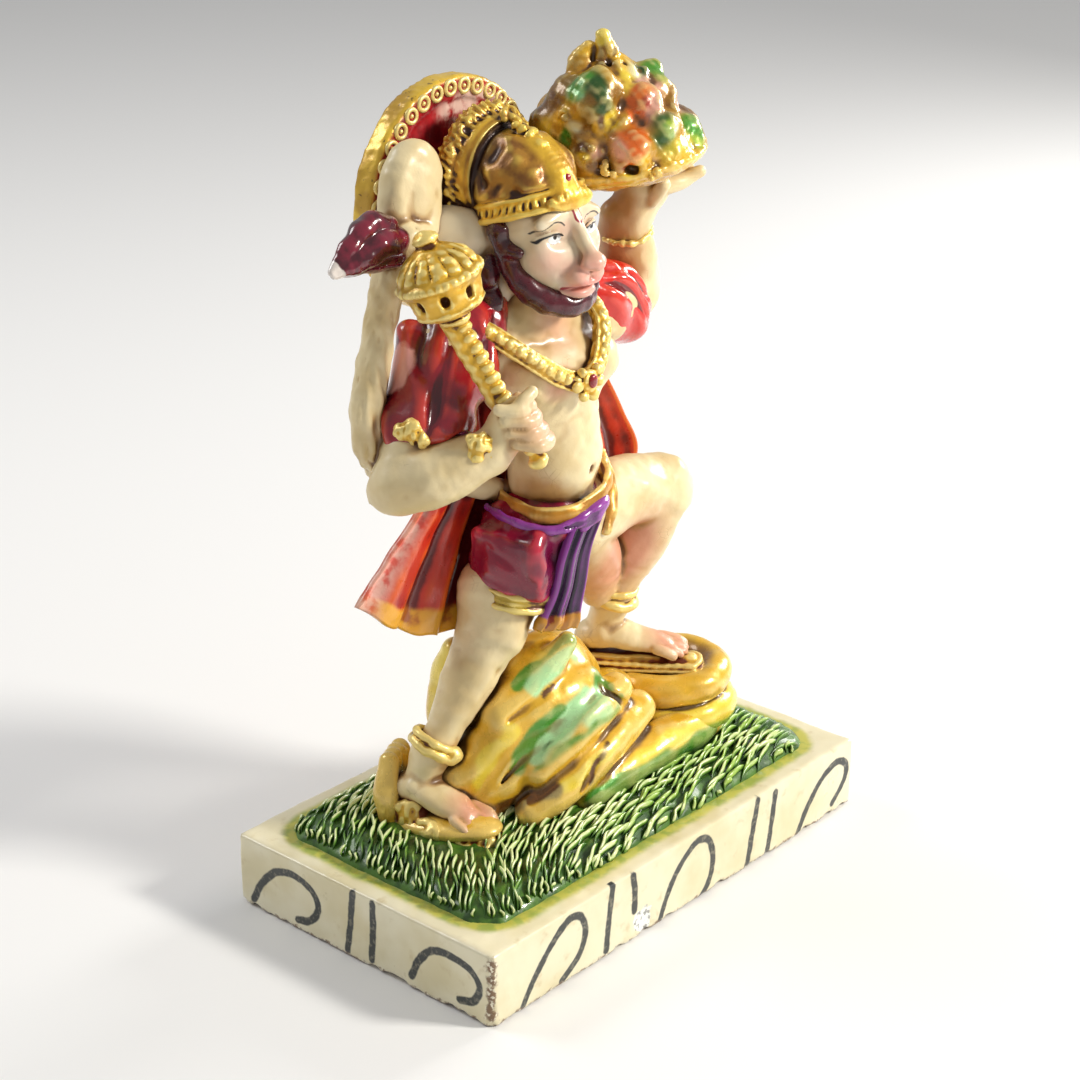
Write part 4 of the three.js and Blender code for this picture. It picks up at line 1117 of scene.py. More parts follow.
def crown():
    """A folded cap on a toothed band, its front plate, and the rolled collar that it fans out of"""
    foot, axis = np.array((-7.8, -0.4, 115)), unit((-0.02, 0.3, 1))
    ring_middle = np.array((-8.9, 0, 120.8))
    clay = Clay((-24, -15, 108), (7, 13, 135), 0.28)
    collar = [
        (-0.2, 9.6), (0, 10.8), (1, 11.4), (2.6, 11.2), (3.4, 10.1), (4.2, 10), (5, 9.7), (5.6, 9.2), (5.9, 8.6)
    ]
    clay.add(spun(ring_middle + (0, 10.2, 0), (0, -1, 0), collar), 0.3)
    clay.lump(0.5, ring_middle + (0.5, 2.6, -1), (8.9, 5, 9))
    clay.cut(ring(ring_middle + (0, 3.9, 0), 9, 0.55, (0, -1, 0)), 0.4)
    clay.dent(0.8, (-8, 4, 108.6), (10, 8, 5))
    clay.hoop(0.15, ring_middle + (0, 4.6, 0), 9, 0.36, (0, -1, 0))
    clay.lump(0.35, (-8.3, 1.2, 119.1), (9.3, 9.8, 9.4))
    clay.cut(block(foot - axis * 5.3, (16, 16, 5), (-17, 0, 0)), 0.2)
    clay.hoop(0.25, foot + axis * 0.2, 9.9, 0.62, axis)
    clay.add(spun(foot, axis, [(-0.1, 9.6), (0.3, 10.1), (1.4, 10.1), (2.6, 10), (3, 9.4)]), 0.25)
    clay.hoop(0.2, foot + axis * 2.7, 9.75, 0.42, axis)
    clay.bar(
        0.5, (-7.9, -8.1, 119.2, 2.4), (-8.3, -6.9, 122.4, 2.1), (-8.6, -4.6, 125.6, 1.2), (-8.7, -2.6, 127.6, 0.6),
        wide=1.5
    )
    clay.lump(0.6, (-7.6, -9.7, 118.4), (5.2, 1.2, 1.8), (-16, 0, 0))
    for x, z in ((-12.4, 119.4), (-11, 119.8), (-9.4, 119.9), (-7.6, 119.9), (-5.8, 119.7), (-4.2, 119.3)):
        clay.lump(0.2, (x, -10.1 + 0.05 * (x + 8) ** 2, z - 0.9), (0.75, 0.7, 0.9))
    draw = np.random.default_rng(12)
    comb = [(-8.6, -4.4, 126.2), (-8.6, -1.6, 128), (-8.6, 1.6, 129.8), (-8.6, 4.6, 131.2)]
    for spot in curve_at(comb, np.linspace(0, 1, 24)):
        shift = draw.uniform(-1.1, 1.1, 3) * (1, 0.3, 0.5)
        clay.lump(0.5, spot + shift, draw.uniform(0.5, 0.9, 3))

    def from_foot(places):
        """x, y and z from the band's foot, height along the cap's axis, radius in the collar"""
        x, y, z = (places - foot).T
        return x, y, z, places @ axis - foot @ axis, np.hypot(x + 1.1, z - 5.8)

    def relief(places):
        x, y, z, height, radius = from_foot(places)
        fan = np.arctan2(z - 2 + 0.1 * np.abs(x), y + 13.5)
        side = held((np.abs(x) - 2.4) / 2) * held((height - 3) / 1.2) * held((4.6 - y) / 1.5)
        folds = (np.sin(fan * 12 + ripple(places, 7, 44) * 0.9) * 0.5 + ripple(places, 3.4, 46) * 0.16) * side
        angle = np.arctan2(x, y)
        band = held(1 - np.abs(height - 1.5) / 0.95) * held((3.5 - y) / 1.5)
        teeth = np.where(np.abs(x) < 5, 0.3, 1) * np.sin(angle * 44 + ripple(places, 3, 45)) * 0.3 * band
        ruff = held((y - 6) / 0.8) * held((radius - 9.4) / 0.8)
        grains = np.clip(ripple(places, 1.35, 42), -0.5, 2) * 0.27 + ripple(places, 2.8, 43) * 0.2
        return folds + teeth + grains * ruff + ripple(places, 3.4, 41) * 0.06

    piece = clay.cast("crown", relief)
    x, y, z, height, radius = from_foot(places_of(piece))
    dome = held((np.abs(x) - 2.6) / 1.4) * held((height - 3.1) / 0.8) * held((5 - y) / 0.8)
    roll = held((5.8 - y) / 0.4) * held((y - 3) / 0.4) * held((radius - 9.2) / 0.3)
    # painted shade inside the collar, darker towards its back
    collar_shade = held((9.4 - radius) / 0.4) * held((y - 1.6) / 3.2)
    ruff = held((y - 6) / 0.8) * held((radius - 9.2) / 0.5)
    give(piece, "bronze", np.maximum(np.maximum(dome, roll * 0.8), ruff * 0.55))
    give(piece, "collar_shade", collar_shade)
    settle(piece, "gold_paint", crown_paint("crown_paint"))
    gem = Clay((-11, -13, 119), (-6, -6, 126), 0.22)
    gem.lump(0.1, (-8.3, -9.2, 122.1), (0.8, 0.6, 0.8))
    settle(gem.cast("crown_gem", shades=False), "cloth_paint", GEM)


def crown_paint(name):
    """Gold with a brown wash over the cap's cloth, a painted highlight on what stands proud, brown wash and painted
    shade in nooks, and black painted shade inside the collar
    """
    paint = Paint(name)
    proud, bronze = paint.value("crest"), paint.value("bronze")
    brown = paint.mottled((0.44, 0.21, 0.024), (0.22, 0.085, 0.014), (4, 3, 2), 0.4, 0.66)
    colour = paint.layers(
        paint.mottled((0.84, 0.5, 0.04), (0.56, 0.28, 0.02), (5,), 0.42, 0.68),
        # brown cloth paint over the cap, thinner on what stands proud as a painted highlight
        (brown, bronze * (1 - proud.rise(0.35, 1.6) * 0.5)),
        # painted highlight on what stands proud
        ((0.95, 0.72, 0.16), proud.rise(0.3, 1.3) * (0.75 - bronze * 0.4)),
        # brown wash and painted shade in nooks
        ((0.05, 0.016, 0.005), (wash_and_shade(paint, 0.6) + bronze * 0.1).rise(0.34, 0.8)),
        # black painted shade inside the collar
        ((0.035, 0.014, 0.01), paint.value("collar_shade") * 0.9),
    )
    rough = 0.24 + paint.grain(1.1) * 0.22
    return paint.finish(colour, rough, paint.grain(0.8, 4, 3), 0.09, coat=(0.25, 0.2), metal=0.35)


HALO = np.array((-10.8, 19, 115.4))


def halo():
    """The thick disc behind the crown, with a crimson face and a row of ring rosettes"""
    clay = Clay((-33, 12, 93), (11, 21, 138), 0.42)
    clay.add(spun(HALO, (0, -1, 0), [(0, 20), (0.7, 20.7), (4.2, 20.8), (4.8, 20.3)]), 0.3)
    clay.cut(spun(HALO + (0, -4.3, 0), (0, -1, 0), [(0, 16.6), (2, 17.2)]), 0.6)
    clay.bar(1, (-9, 8, 100, 7), (-10, 15, 103, 6), (-10, 16.5, 112, 5))
    piece = clay.cast("halo", rippled((5, 0.12, 51), (1.6, 0.05, 52)))
    places, normals = places_of(piece), normals_of(piece)
    radius = np.hypot(places[:, 0] - HALO[0], places[:, 2] - HALO[2])
    give(piece, "crimson", held((-normals[:, 1] - 0.45) * 4) * (places[:, 1] < 17.5) * held((20.5 - radius) * 2))
    settle(piece, "gold_paint", halo_paint("halo_paint"), rounds=4)
    angles = np.radians(np.arange(-19, 200, 10.2))
    spots = [HALO + (19 * math.cos(a), -4.8, 19 * math.sin(a)) for a in angles]
    rosettes = rings_at(
        "halo_rosettes", spots, (0, -1, 0), 1.16, 0.42,
        gold_paint("rosette_paint", (0.9, 0.66, 0.28), (0.24, 0.03, 0.01))
    )
    surroundings.splat(rosettes)
    settle(rosettes, "gold_paint", rounds=3)


def halo_paint(name):
    """A gold rim with brown wash and painted shade in its nooks, and a crimson face with a chalky patch near its
    top
    """
    paint = Paint(name)
    crimson = paint.value("crimson")
    specks = paint.grain(0.9, 1, 4).rise(0.68, 0.74)
    gold = paint.mottled((0.86, 0.56, 0.05), (0.56, 0.32, 0.03), (7,), 0.42, 0.66)
    red = paint.mottled((0.42, 0.012, 0.018), (0.19, 0.006, 0.01), (4, 3, 6), 0.4, 0.66)
    x, _, z = paint.axes()
    spot = paint.node("CombineXYZ", None, [(x + 6.5) / 8.5, 0, (z - 130.2) / 3.4])
    patch = paint.node("VectorMath", {"operation": "LENGTH"}, [spot], out="Value")
    chalk = (1 - patch.rise(0.7, 1.15)) * paint.grain(2.2, 4, 8).rise(0.34, 0.56)
    # brown wash and painted shade in the rim's nooks, with dark specks
    wash_and_shade_mask = wash_and_shade(paint, 0.5).rise(0.5, 1)
    edge = paint.mix(gold, (0.1, 0.04, 0.01), (wash_and_shade_mask + specks * 0.7).least(1))
    colour = paint.mix(edge, paint.mix(red, (0.86, 0.6, 0.5), chalk * 0.9), crimson)
    rough, metal = 0.25 + paint.grain(1.5) * 0.2, (1 - crimson) * 0.3
    return paint.finish(colour, rough, paint.grain(1.2, 5), 0.08, coat=(0.4, 0.15), metal=metal)


# ---- cloth


def cape():
    """One pleated sheet that hangs from the shoulders and flies out to the figure's right"""
    left = [(-21, 5, 94), (-21.5, 8.5, 78), (-23.5, 10, 64), (-31, 11.5, 54.5), (-39, 12, 46.6)]
    right = [(12, 5, 93), (18, 7, 80), (25.4, 8, 68.5), (31, 8.6, 58), (27, 9, 47)]

    def surface(u, v, side):
        one, two = curve_at(left, v), curve_at(right, v)
        fold = np.cos(u * math.pi * 13) * (0.3 + 0.9 * v)
        fine = np.sin(u * math.pi * 29 + 0.6) * 0.28 * v
        drop = -14.5 * (1 - (1 - u) ** 4.5) * (1 - u**3) * v**4
        hem = np.exp(-(((v - 0.955) / 0.028) ** 2)) * (0.35 + 0.25 * np.sin(u * 95)) * side * -0.8
        thick = (0.55 + 0.5 * (1 - v)) * side
        arc = np.sin(held(u) * math.pi)
        over_back = 4.6 * arc**0.7 * held(1 - v * 1.7) + 1.5 * arc * np.exp(-(((v - 0.68) / 0.2) ** 2))
        shift = columns(u * 0, fold + fine - 0.3 + thick - hem * 0.6 + over_back, drop)
        lumps = ripple(columns(u * 50, v * 50, u * 0), 7, 61) * 0.12 * v
        return one + (two - one) * u[:, None] + shift + columns(lumps * 0, lumps, np.sin(u * 60) * 0.35 * v**6)

    piece = cloth("cape", surface, 230, 110)
    surroundings.splat(piece)
    return settle(piece, "cloth_paint", cape_paint("cape_paint"))


def cape_paint(name):
    """Orange red with painted highlights on the pleats' crests and painted shade with brown wash in their hollows,
    an ochre hem a little lighter where it stands proud, and a bare patch at one edge
    """
    paint = Paint(name)
    hang, proud = paint.value("hang"), paint.value("crest")
    hem = (hang + (paint.grain(3) - 0.5) * 0.03).rise(0.925, 0.945)
    # the hem's ochre, with a slight painted highlight where it stands proud
    ochre = paint.mix((0.78, 0.4, 0.03), (0.4, 0.11, 0.015), (paint.grain(3, 3, 5) - proud * 0.15).rise(0.4, 0.64))
    inner = (paint.value("along") + (paint.grain(5, 4, 8) - 0.5) * 0.06).rise(0.01, 0.06)
    bare = paint.mottled((0.8, 0.44, 0.36), (0.66, 0.1, 0.07), (3, 3, 1), 0.44, 0.64)
    colour = paint.layers(
        paint.mottled((0.56, 0.03, 0.01), (0.34, 0.01, 0.012), (13,), 0.4, 0.68),
        # painted highlight on the pleats' crests
        ((0.88, 0.17, 0.02), proud.rise(0.1, 1.3) * 0.8),
        # painted shade and brown wash in the pleats' hollows
        ((0.08, 0.004, 0.006), (wash_and_shade(paint, 0.5) - proud * 0.3).rise(0.2, 0.75) * 0.9),
        (ochre, hem * 0.9),
        (bare, (1 - inner) * hang.rise(0.5, 0.66) * 0.85),
    )
    rough = 0.2 + paint.grain(1.5) * 0.22
    return paint.finish(colour, rough, paint.grain(1.4, 5, 6), coat=(0.5, 0.15))


def shawl():
    """The cape's cloth drawn over both shoulders"""
    clay = Clay((-45, -10, 72), (28, 15, 106), 0.4)
    clay.bar(1, (-15, 2.2, 96.4, 5.2), (-23, 2, 95, 7), (-29, 1.6, 88.6, 7.6), (-34, 1.2, 82.4, 7.1))
    clay.lump(2, (-32.4, -3.4, 82.6), (5.2, 4.2, 5.6), (0, 34, 0))
    clay.lump(2, (-26, -4.2, 90), (4, 3, 5), (0, 40, 0))
    clay.bar(1, (-31, 4, 88, 4), (-37.4, 3.4, 82.6, 2.2))
    clay.bar(1.5, (-31, 6, 97, 2), (-33.5, 5, 90, 2.6), (-36.5, 4.4, 83, 1.8), wide=1.4, broad=(0.3, 1, 0))
    clay.bar(1, (5, 2.4, 96, 5.6), (12.5, 1.4, 94.4, 7), (17.5, 1.6, 91, 6.8))
    clay.bar(2, (-18, 4.5, 96, 4.4), (-5, 6, 96.5, 4.4), (9, 5, 95, 4.4))
    clay.dent(1, (-40.5, -2.5, 73.6), (7.5, 6, 5.4), (0, -40, 0))
    clay.dent(1.2, (-6.5, -8.5, 98), (12.5, 9.5, 12))
    clay.groove(0.6, (-39, 0, 73.6, 5.7), (-33, -9, 78, 5.2))
    folds = [
        [(-20, -3.4, 99.6, 0.2), (-27, -7, 92, 0.6), (-31, -8.4, 83, 0.3)],
        [(-26, -0.6, 101.4, 0.2), (-33.4, -3.4, 92.6, 0.7), (-38, -4.6, 84, 0.3)],
        [(8, -3.4, 99, 0.2), (14.6, -5, 96, 0.6), (19.4, -4.6, 89, 0.3)],
        [(10.4, -3, 101.4, 0.2), (18.4, -2.8, 97.6, 0.6), (23.6, -1.4, 90, 0.3)],
        [(6.4, -5, 95.4, 0.2), (11, -6.6, 91.4, 0.5), (14.4, -6, 87, 0.3)],
    ]
    for fold in folds:
        clay.groove(1.8, *fold)

    def relief(places):
        x, y, z = places.T
        slant = x * 0.75 + z * 0.4 - y * 0.75
        right = np.sin(slant * 0.8 + ripple(places, 13, 71) * 1.6) * 0.32
        left = np.sin((x * 0.9 + z * 0.35 + y * 0.4) * 1.1 + 0.8) * 0.34
        return np.where(x < -4, right, left) + ripple(places, 9, 72) * 0.2

    piece = clay.cast("shawl", relief)
    places = places_of(piece)
    give(piece, "chalk", held(1 - np.linalg.norm((places - (-35, 4.5, 91)) / (4, 5, 9), axis=1)) * 1.6)
    return settle(piece, "cloth_paint", shawl_paint("shawl_paint"), rounds=12)


def shawl_paint(name):
    """Crimson on the right shoulder and bright red on the left, with painted highlights on its folds, painted shade
    and brown wash in its nooks, and chalky rubs
    """
    paint = Paint(name)
    proud = paint.value("crest")
    chalk = (paint.value("chalk") * (0.4 + paint.grain(2.2, 4, 3))).rise(0.35, 0.6)
    colour = paint.layers(
        paint.mottled((0.34, 0.006, 0.016), (0.15, 0.004, 0.014), (12,), 0.4, 0.68),
        ((0.62, 0.014, 0.006), paint.axes()[0].rise(-2, 4)),
        # painted highlight on the folds
        ((0.76, 0.07, 0.04), (proud + paint.grain(7) * 0.4).rise(0.8, 2.2) * 0.5),
        # painted shade and brown wash in nooks
        ((0.05, 0.002, 0.006), (wash_and_shade(paint, 0.5) - proud * 0.25).rise(0.4, 1) * 0.8),
        ((0.8, 0.4, 0.36), chalk * 0.8),
    )
    rough = 0.13 + paint.grain(2.5) * 0.18
    return paint.finish(colour, rough, paint.grain(2.4, 4, 6), 0.13, coat=(0.7, 0.1))


def shorts():
    """Tight short trousers, full and square on the right thigh, with a rolled gold cuff"""
    clay = Clay((-25, -13, 38), (24, 13, 66), 0.34)
    clay.bar(1, (-3.4, 1, 55.4, 9.2), (-8.6, 1.2, 51, 9), (-11, 1, 46.4, 7.4))
    clay.bar(1, (-1, 1, 56, 9.2), (1.4, 1, 56, 8.6))
    clay.lump(1.5, (-4, 0.3, 57), (10.6, 9.8, 5.6))
    clay.add(block((-9.9, 0.2, 51.4), (6.5, 7.2, 6.4), (3, -6, 12), edge=1.6), 1.2)
    clay.cut(block((-11.5, 0.6, 41.6), (11, 13, 4.2), (5.7, 8.8, 0), edge=0.3), 0.3)
    clay.bar(2.6, (-12.8, -6.4, 57, 1), (-13.6, -7, 52, 1.3), (-13.4, -6.8, 46.4, 1))
    for crease in (
        [(-15.4, -7.8, 49, 0.1), (-17, -4.2, 52, 0.3), (-17.6, 0.8, 54.4, 0.1)],
        [(-16.2, -6.4, 46.6, 0.1), (-17.9, -2.8, 48.4, 0.25), (-18.6, 2, 49.4, 0.1)],
        [(-13.6, -9, 48.4, 0.1), (-11.6, -9.2, 51.8, 0.35), (-9, -9.8, 55, 0.1)],
        [(-12.6, -9, 46.4, 0.1), (-10.8, -9.2, 48.4, 0.3), (-8.8, -9.6, 51, 0.1)],
    ):
        clay.groove(1.2, *crease)

    relief = rippled((8, 0.22, 82), (3.6, 0.05, 84))
    cloth_red = gloss_cloth("shorts_paint", (0.27, 0.004, 0.03), (0.07, 0.002, 0.024), (0.62, 0.03, 0.06))
    settle(clay.cast("shorts", relief), "cloth_paint", cloth_red, rounds=12)
    across = (0.154, -0.1, 1)
    hem = Clay((-23, -10, 38), (0, 12, 50), 0.3)
    hem.hoop(0.15, (-11, 0.5, 45.6), 6.9, 0.6, across)
    hem.hoop(0.5, (-11.2, 0.4, 44.5), 6.5, 0.7, across)
    hem.hoop(0.2, (-11.3, 0.3, 43.2), 6.5, 0.8, across)
    piece = hem.cast("shorts_hem", rippled((3.4, 0.2, 83)))
    settle(piece, "gold_paint", gold_paint("hem_paint", (0.62, 0.42, 0.04), (0.12, 0.04, 0.008), 0.1))


def belt():
    """The gold belt that sags below the belly, and the gold strip at the left hip"""
    clay = Clay((-15, -13, 50), (18, 13, 69), 0.3)
    waist = [
        (-7.4, 8.6, 60.9), (-10.4, 4, 60.8), (-11.3, -1.2, 60.6), (-10.9, -4.8, 60.3), (-8.9, -7.5, 60.2),
        (-6.2, -8.9, 60.5), (-2.8, -9.6, 61.1), (1, -9.4, 61.9), (5.2, -7.6, 63), (8.2, -4.2, 64)
    ]
    clay.bar(0.2, *[(x, y, z, 0.8) for x, y, z in waist], wide=1.7, broad=(0, 0, 1))
    clay.bar(0.25, *[(x * 0.99, y * 0.99, z + 1.2, 0.55) for x, y, z in waist])
    clay.bar(0.25, *[(x * 1.02, y * 1.02, z - 0.9, 0.5) for x, y, z in waist[1:8]])
    clay.bar(
        0.5, (10.6, -1.4, 65.6, 0.7), (9.6, -3.6, 61.6, 1.1), (7.4, -6.2, 57.4, 1.2), (4.4, -8, 53.4, 0.8),
        wide=1.4, broad=(1, -0.4, 0)
    )

    relief = rippled((5, 0.14, 91))
    settle(
        clay.cast("belt", relief), "gold_paint",
        gold_paint("belt_paint", (0.62, 0.27, 0.018), (0.13, 0.035, 0.008), 0.12), rounds=3
    )


def sash():
    """The purple sash: a strip under the belt and a pleated fall with a gold hem"""
    dark, mid, bright = (0.012, 0.002, 0.022), (0.085, 0.004, 0.11), (0.36, 0.06, 0.42)
    purple = gloss_cloth("sash_paint", mid, (0.03, 0.003, 0.05), bright)
    roll = Clay((-17, -14, 48), (14, 13, 66), 0.3)
    waist = [
        (-12.4, 6, 59.6, 0.6), (-13.8, 0.6, 59.4, 0.7), (-12.7, -4.6, 58.6, 0.7), (-10.2, -7.8, 58.2, 0.75),
        (-6.9, -9.5, 58.7, 0.9), (-3.4, -10.2, 59.6, 1.1), (-0.4, -10.3, 60.3, 1.25), (1.8, -9.6, 60.9, 0.9),
    ]
    roll.bar(0.3, *waist, wide=1.3, broad=(0, 0, 1))
    roll.bar(0.6, (0.6, -10.2, 60.6, 0.9), (-1.6, -10.4, 58.8, 0.9), (-4.4, -10, 57.4, 0.7), wide=1.3)
    roll.groove(0.5, (-11.8, -6.4, 58.4, 0.1), (-6, -10.9, 58.9, 0.3), (1, -11.8, 61.2, 0.2))
    settle(roll.cast("sash_roll", rippled((4, 0.12, 95))), "purple_paint", purple, rounds=14)
    left = [(-6.8, -9.6, 58.4), (-9.2, -8.9, 52.4), (-10.4, -7.8, 45.4), (-12.8, -5.8, 38.6)]
    right = [(1.4, -10.3, 59.8), (-1.4, -9.4, 53.4), (-2.4, -8.8, 46), (-3.6, -7.8, 36.8)]

    def surface(u, v, side):
        one, two = curve_at(left, v), curve_at(right, v)
        fold = 0.75 * np.cos(u * math.pi * 4.8) + 0.22 * np.cos(u * math.pi * 11 + 1)
        hem = np.exp(-(((v - 0.93) / 0.05) ** 2)) * 0.4 * side
        drop = np.cos(u * math.pi * 4.8) * 0.5 * v**4
        shift = columns(u * 0, -fold * (0.5 + 0.7 * v) - side * 0.9 - hem + 0.5, drop)
        return one + (two - one) * u[:, None] + shift

    piece = cloth("sash_fall", surface, 90, 90)
    flip_if_inside_out(piece)
    surroundings.splat(piece)
    return settle(piece, "purple_paint", fall_paint("sash_fall_paint", dark, mid, bright), rounds=16)


def fall_paint(name, dark, mid, bright):
    """Purple, lit on its pleats, with painted shade in its nooks, down to a gold hem a little lighter where it
    stands proud
    """
    paint = Paint(name)
    proud = paint.value("crest")
    hem = (paint.value("hang") + (paint.grain(2) - 0.5) * 0.03).rise(0.86, 0.89)
    # the gold hem, with a slight painted highlight where it stands proud
    gold = paint.mix((0.62, 0.28, 0.03), (0.26, 0.03, 0.03), (paint.grain(2.4, 3, 5) - proud * 0.2).rise(0.4, 0.6))
    colour = paint.layers(
        paint.mottled(mid, (0.04, 0.003, 0.06), (9,), 0.4, 0.68),
        (bright, (proud + paint.grain(5) * 0.3).rise(0.35, 1.3) * 0.75),
        # painted shade in the nooks
        (dark, (paint.value("nook") - proud * 0.4).rise(0.2, 0.75) * 0.9),
        (gold, hem),
    )
    rough = 0.13 + paint.grain(2.5) * 0.2
    return paint.finish(colour, rough, paint.grain(2, 4, 6), coat=(0.7, 0.08))


def flip_if_inside_out(piece):
    """Turns a closed mesh's faces outwards when its volume comes out negative"""
    places = places_of(piece)
    corners = np.zeros(len(piece.data.loops), np.int32)
    piece.data.loops.foreach_get("vertex_index", corners)
    quads = corners.reshape(-1, 4)
    a, b, c = [places[quads[:, k]] for k in (0, 1, 2)]
    if (np.cross(b - a, c - a) * a).sum() < 0:
        piece.data.flip_normals()


# ---- mace, tail tuft and jewellery


MACE_FOOT = np.array((-24.4, -17, 78))
MACE_AXIS = unit((-0.3, 0.36, 0.885))


def mace():
    """A mace: knob, beaded shaft, drum with holes, flanged rim and petalled dome"""
    shaft = [(-1.4, 0.2), (-1.2, 1.1), (-0.4, 1.8), (0.4, 1.8), (1, 1.2)]
    for k in range(13):
        start = 1.6 + 2 * k
        shaft += [(start, 0.95), (start + 0.5, 1.4), (start + 1, 1.55), (start + 1.5, 1.4)]
    shaft += [(27.8, 1.2), (29, 1)]
    top = [
        (-0.4, 1.2), (0.2, 2.4), (0.8, 2.7), (1.3, 2.2), (1.9, 4.2), (2.5, 5.5), (3, 6.1), (3.5, 5.9), (4.4, 6.1),
        (6.6, 6.5), (7.2, 6.9),
        (7.7, 7.5), (8.3, 7.7), (8.9, 7.4), (9.3, 6.9), (10.2, 6.6), (11.6, 5.6), (12.8, 4), (13.5, 2.7),
        (13.8, 2.1),
        (14.3, 1.9), (14.8, 2.3), (15.5, 2.1), (16.1, 1.4), (16.5, 0.3),
    ]

    def pattern(height, angle):
        petals = np.abs(np.sin(angle * 7)) ** 0.5 - 0.75
        dome = held((height - 9.2) / 0.6) * held((13.4 - height) / 1.2)
        holes = np.exp(-(((height - 5.4) / 0.85) ** 2)) * held(np.cos(angle * 8) * 2.4 - 1.2)
        rope = np.exp(-(((height - 8.3) / 0.45) ** 2)) * np.sin(angle * 34) * 0.16
        return petals * dome * 0.9 - holes * 1.7 + rope

    clay = Clay((-46, -21, 74), (-17, 8, 120), 0.3)
    clay.add(spun(MACE_FOOT, MACE_AXIS, shaft), 0.3)
    strip = [MACE_FOOT + s * MACE_AXIS + np.array((-1.2, 1.36, 0)) for s in (7, 13, 20, 28)]
    clay.bar(
        0.25, *[(*spot, size) for spot, size in zip(strip, (0.5, 1, 1.25, 1.4))], wide=1.2, broad=(-0.66, 0.75, 0)
    )
    base = MACE_FOOT + 27.4 * MACE_AXIS - np.array((0.33, -0.37, 0))
    clay.add(spun(base, unit((-0.2, 0.25, 0.885)), top, pattern), 0.3)
    piece = clay.cast("mace", rippled((2.4, 0.08, 101)))
    settle(piece, "gold_paint", gold_paint("mace_paint", (0.8, 0.46, 0.035), (0.1, 0.03, 0.006)), rounds=6)


def tuft():
    """The tail's tip: a flat glossy wedge of three strands swept down to a chipped point"""
    clay = Clay((-52, 0, 104), (-31, 13, 123), 0.28)
    strands = [
        [(-36, 6.6, 116.6, 2.3), (-39.6, 6.6, 117.4, 2.4), (-44.6, 6.2, 114.6, 1.9), (-48.7, 6, 111.8, 0.7)],
        [(-35, 5.4, 114, 2.7), (-39.4, 4.8, 114.4, 2.7), (-44.4, 5.2, 112.6, 1.9), (-48.4, 5.8, 111.2, 0.6)],
        [(-34.6, 5.8, 111.8, 2.2), (-38.5, 5.8, 112, 2.3), (-43, 5.8, 111.4, 1.4), (-47.6, 6, 110.9, 0.6)],
    ]
    for strand in strands:
        clay.bar(0.25, *strand)
    piece = clay.cast("tuft", rippled((3.6, 0.14, 111)))
    places = places_of(piece)
    give(piece, "tip", held((-46 - places[:, 0]) / 1.6 + (110.8 - places[:, 2]) / 3))
    paint = Paint("tuft_paint")
    # dark maroon, slightly lighter on crests as a faint painted highlight
    dark = paint.mix(
        (0.07, 0.004, 0.012), (0.2, 0.01, 0.03), (paint.grain(3) + paint.value("crest") * 0.1).rise(0.45, 0.7)
    )
    bare = (paint.value("tip") * (0.5 + paint.grain(1.4, 4))).rise(0.32, 0.5)
    paint.finish(
        paint.mix(dark, (0.8, 0.72, 0.66), bare), 0.1 + paint.grain(1.2) * 0.16, paint.grain(1.2, 4, 3), 0.06,
        coat=(0.8, 0.1)
    )
    settle(piece, "hair_paint", paint.material)


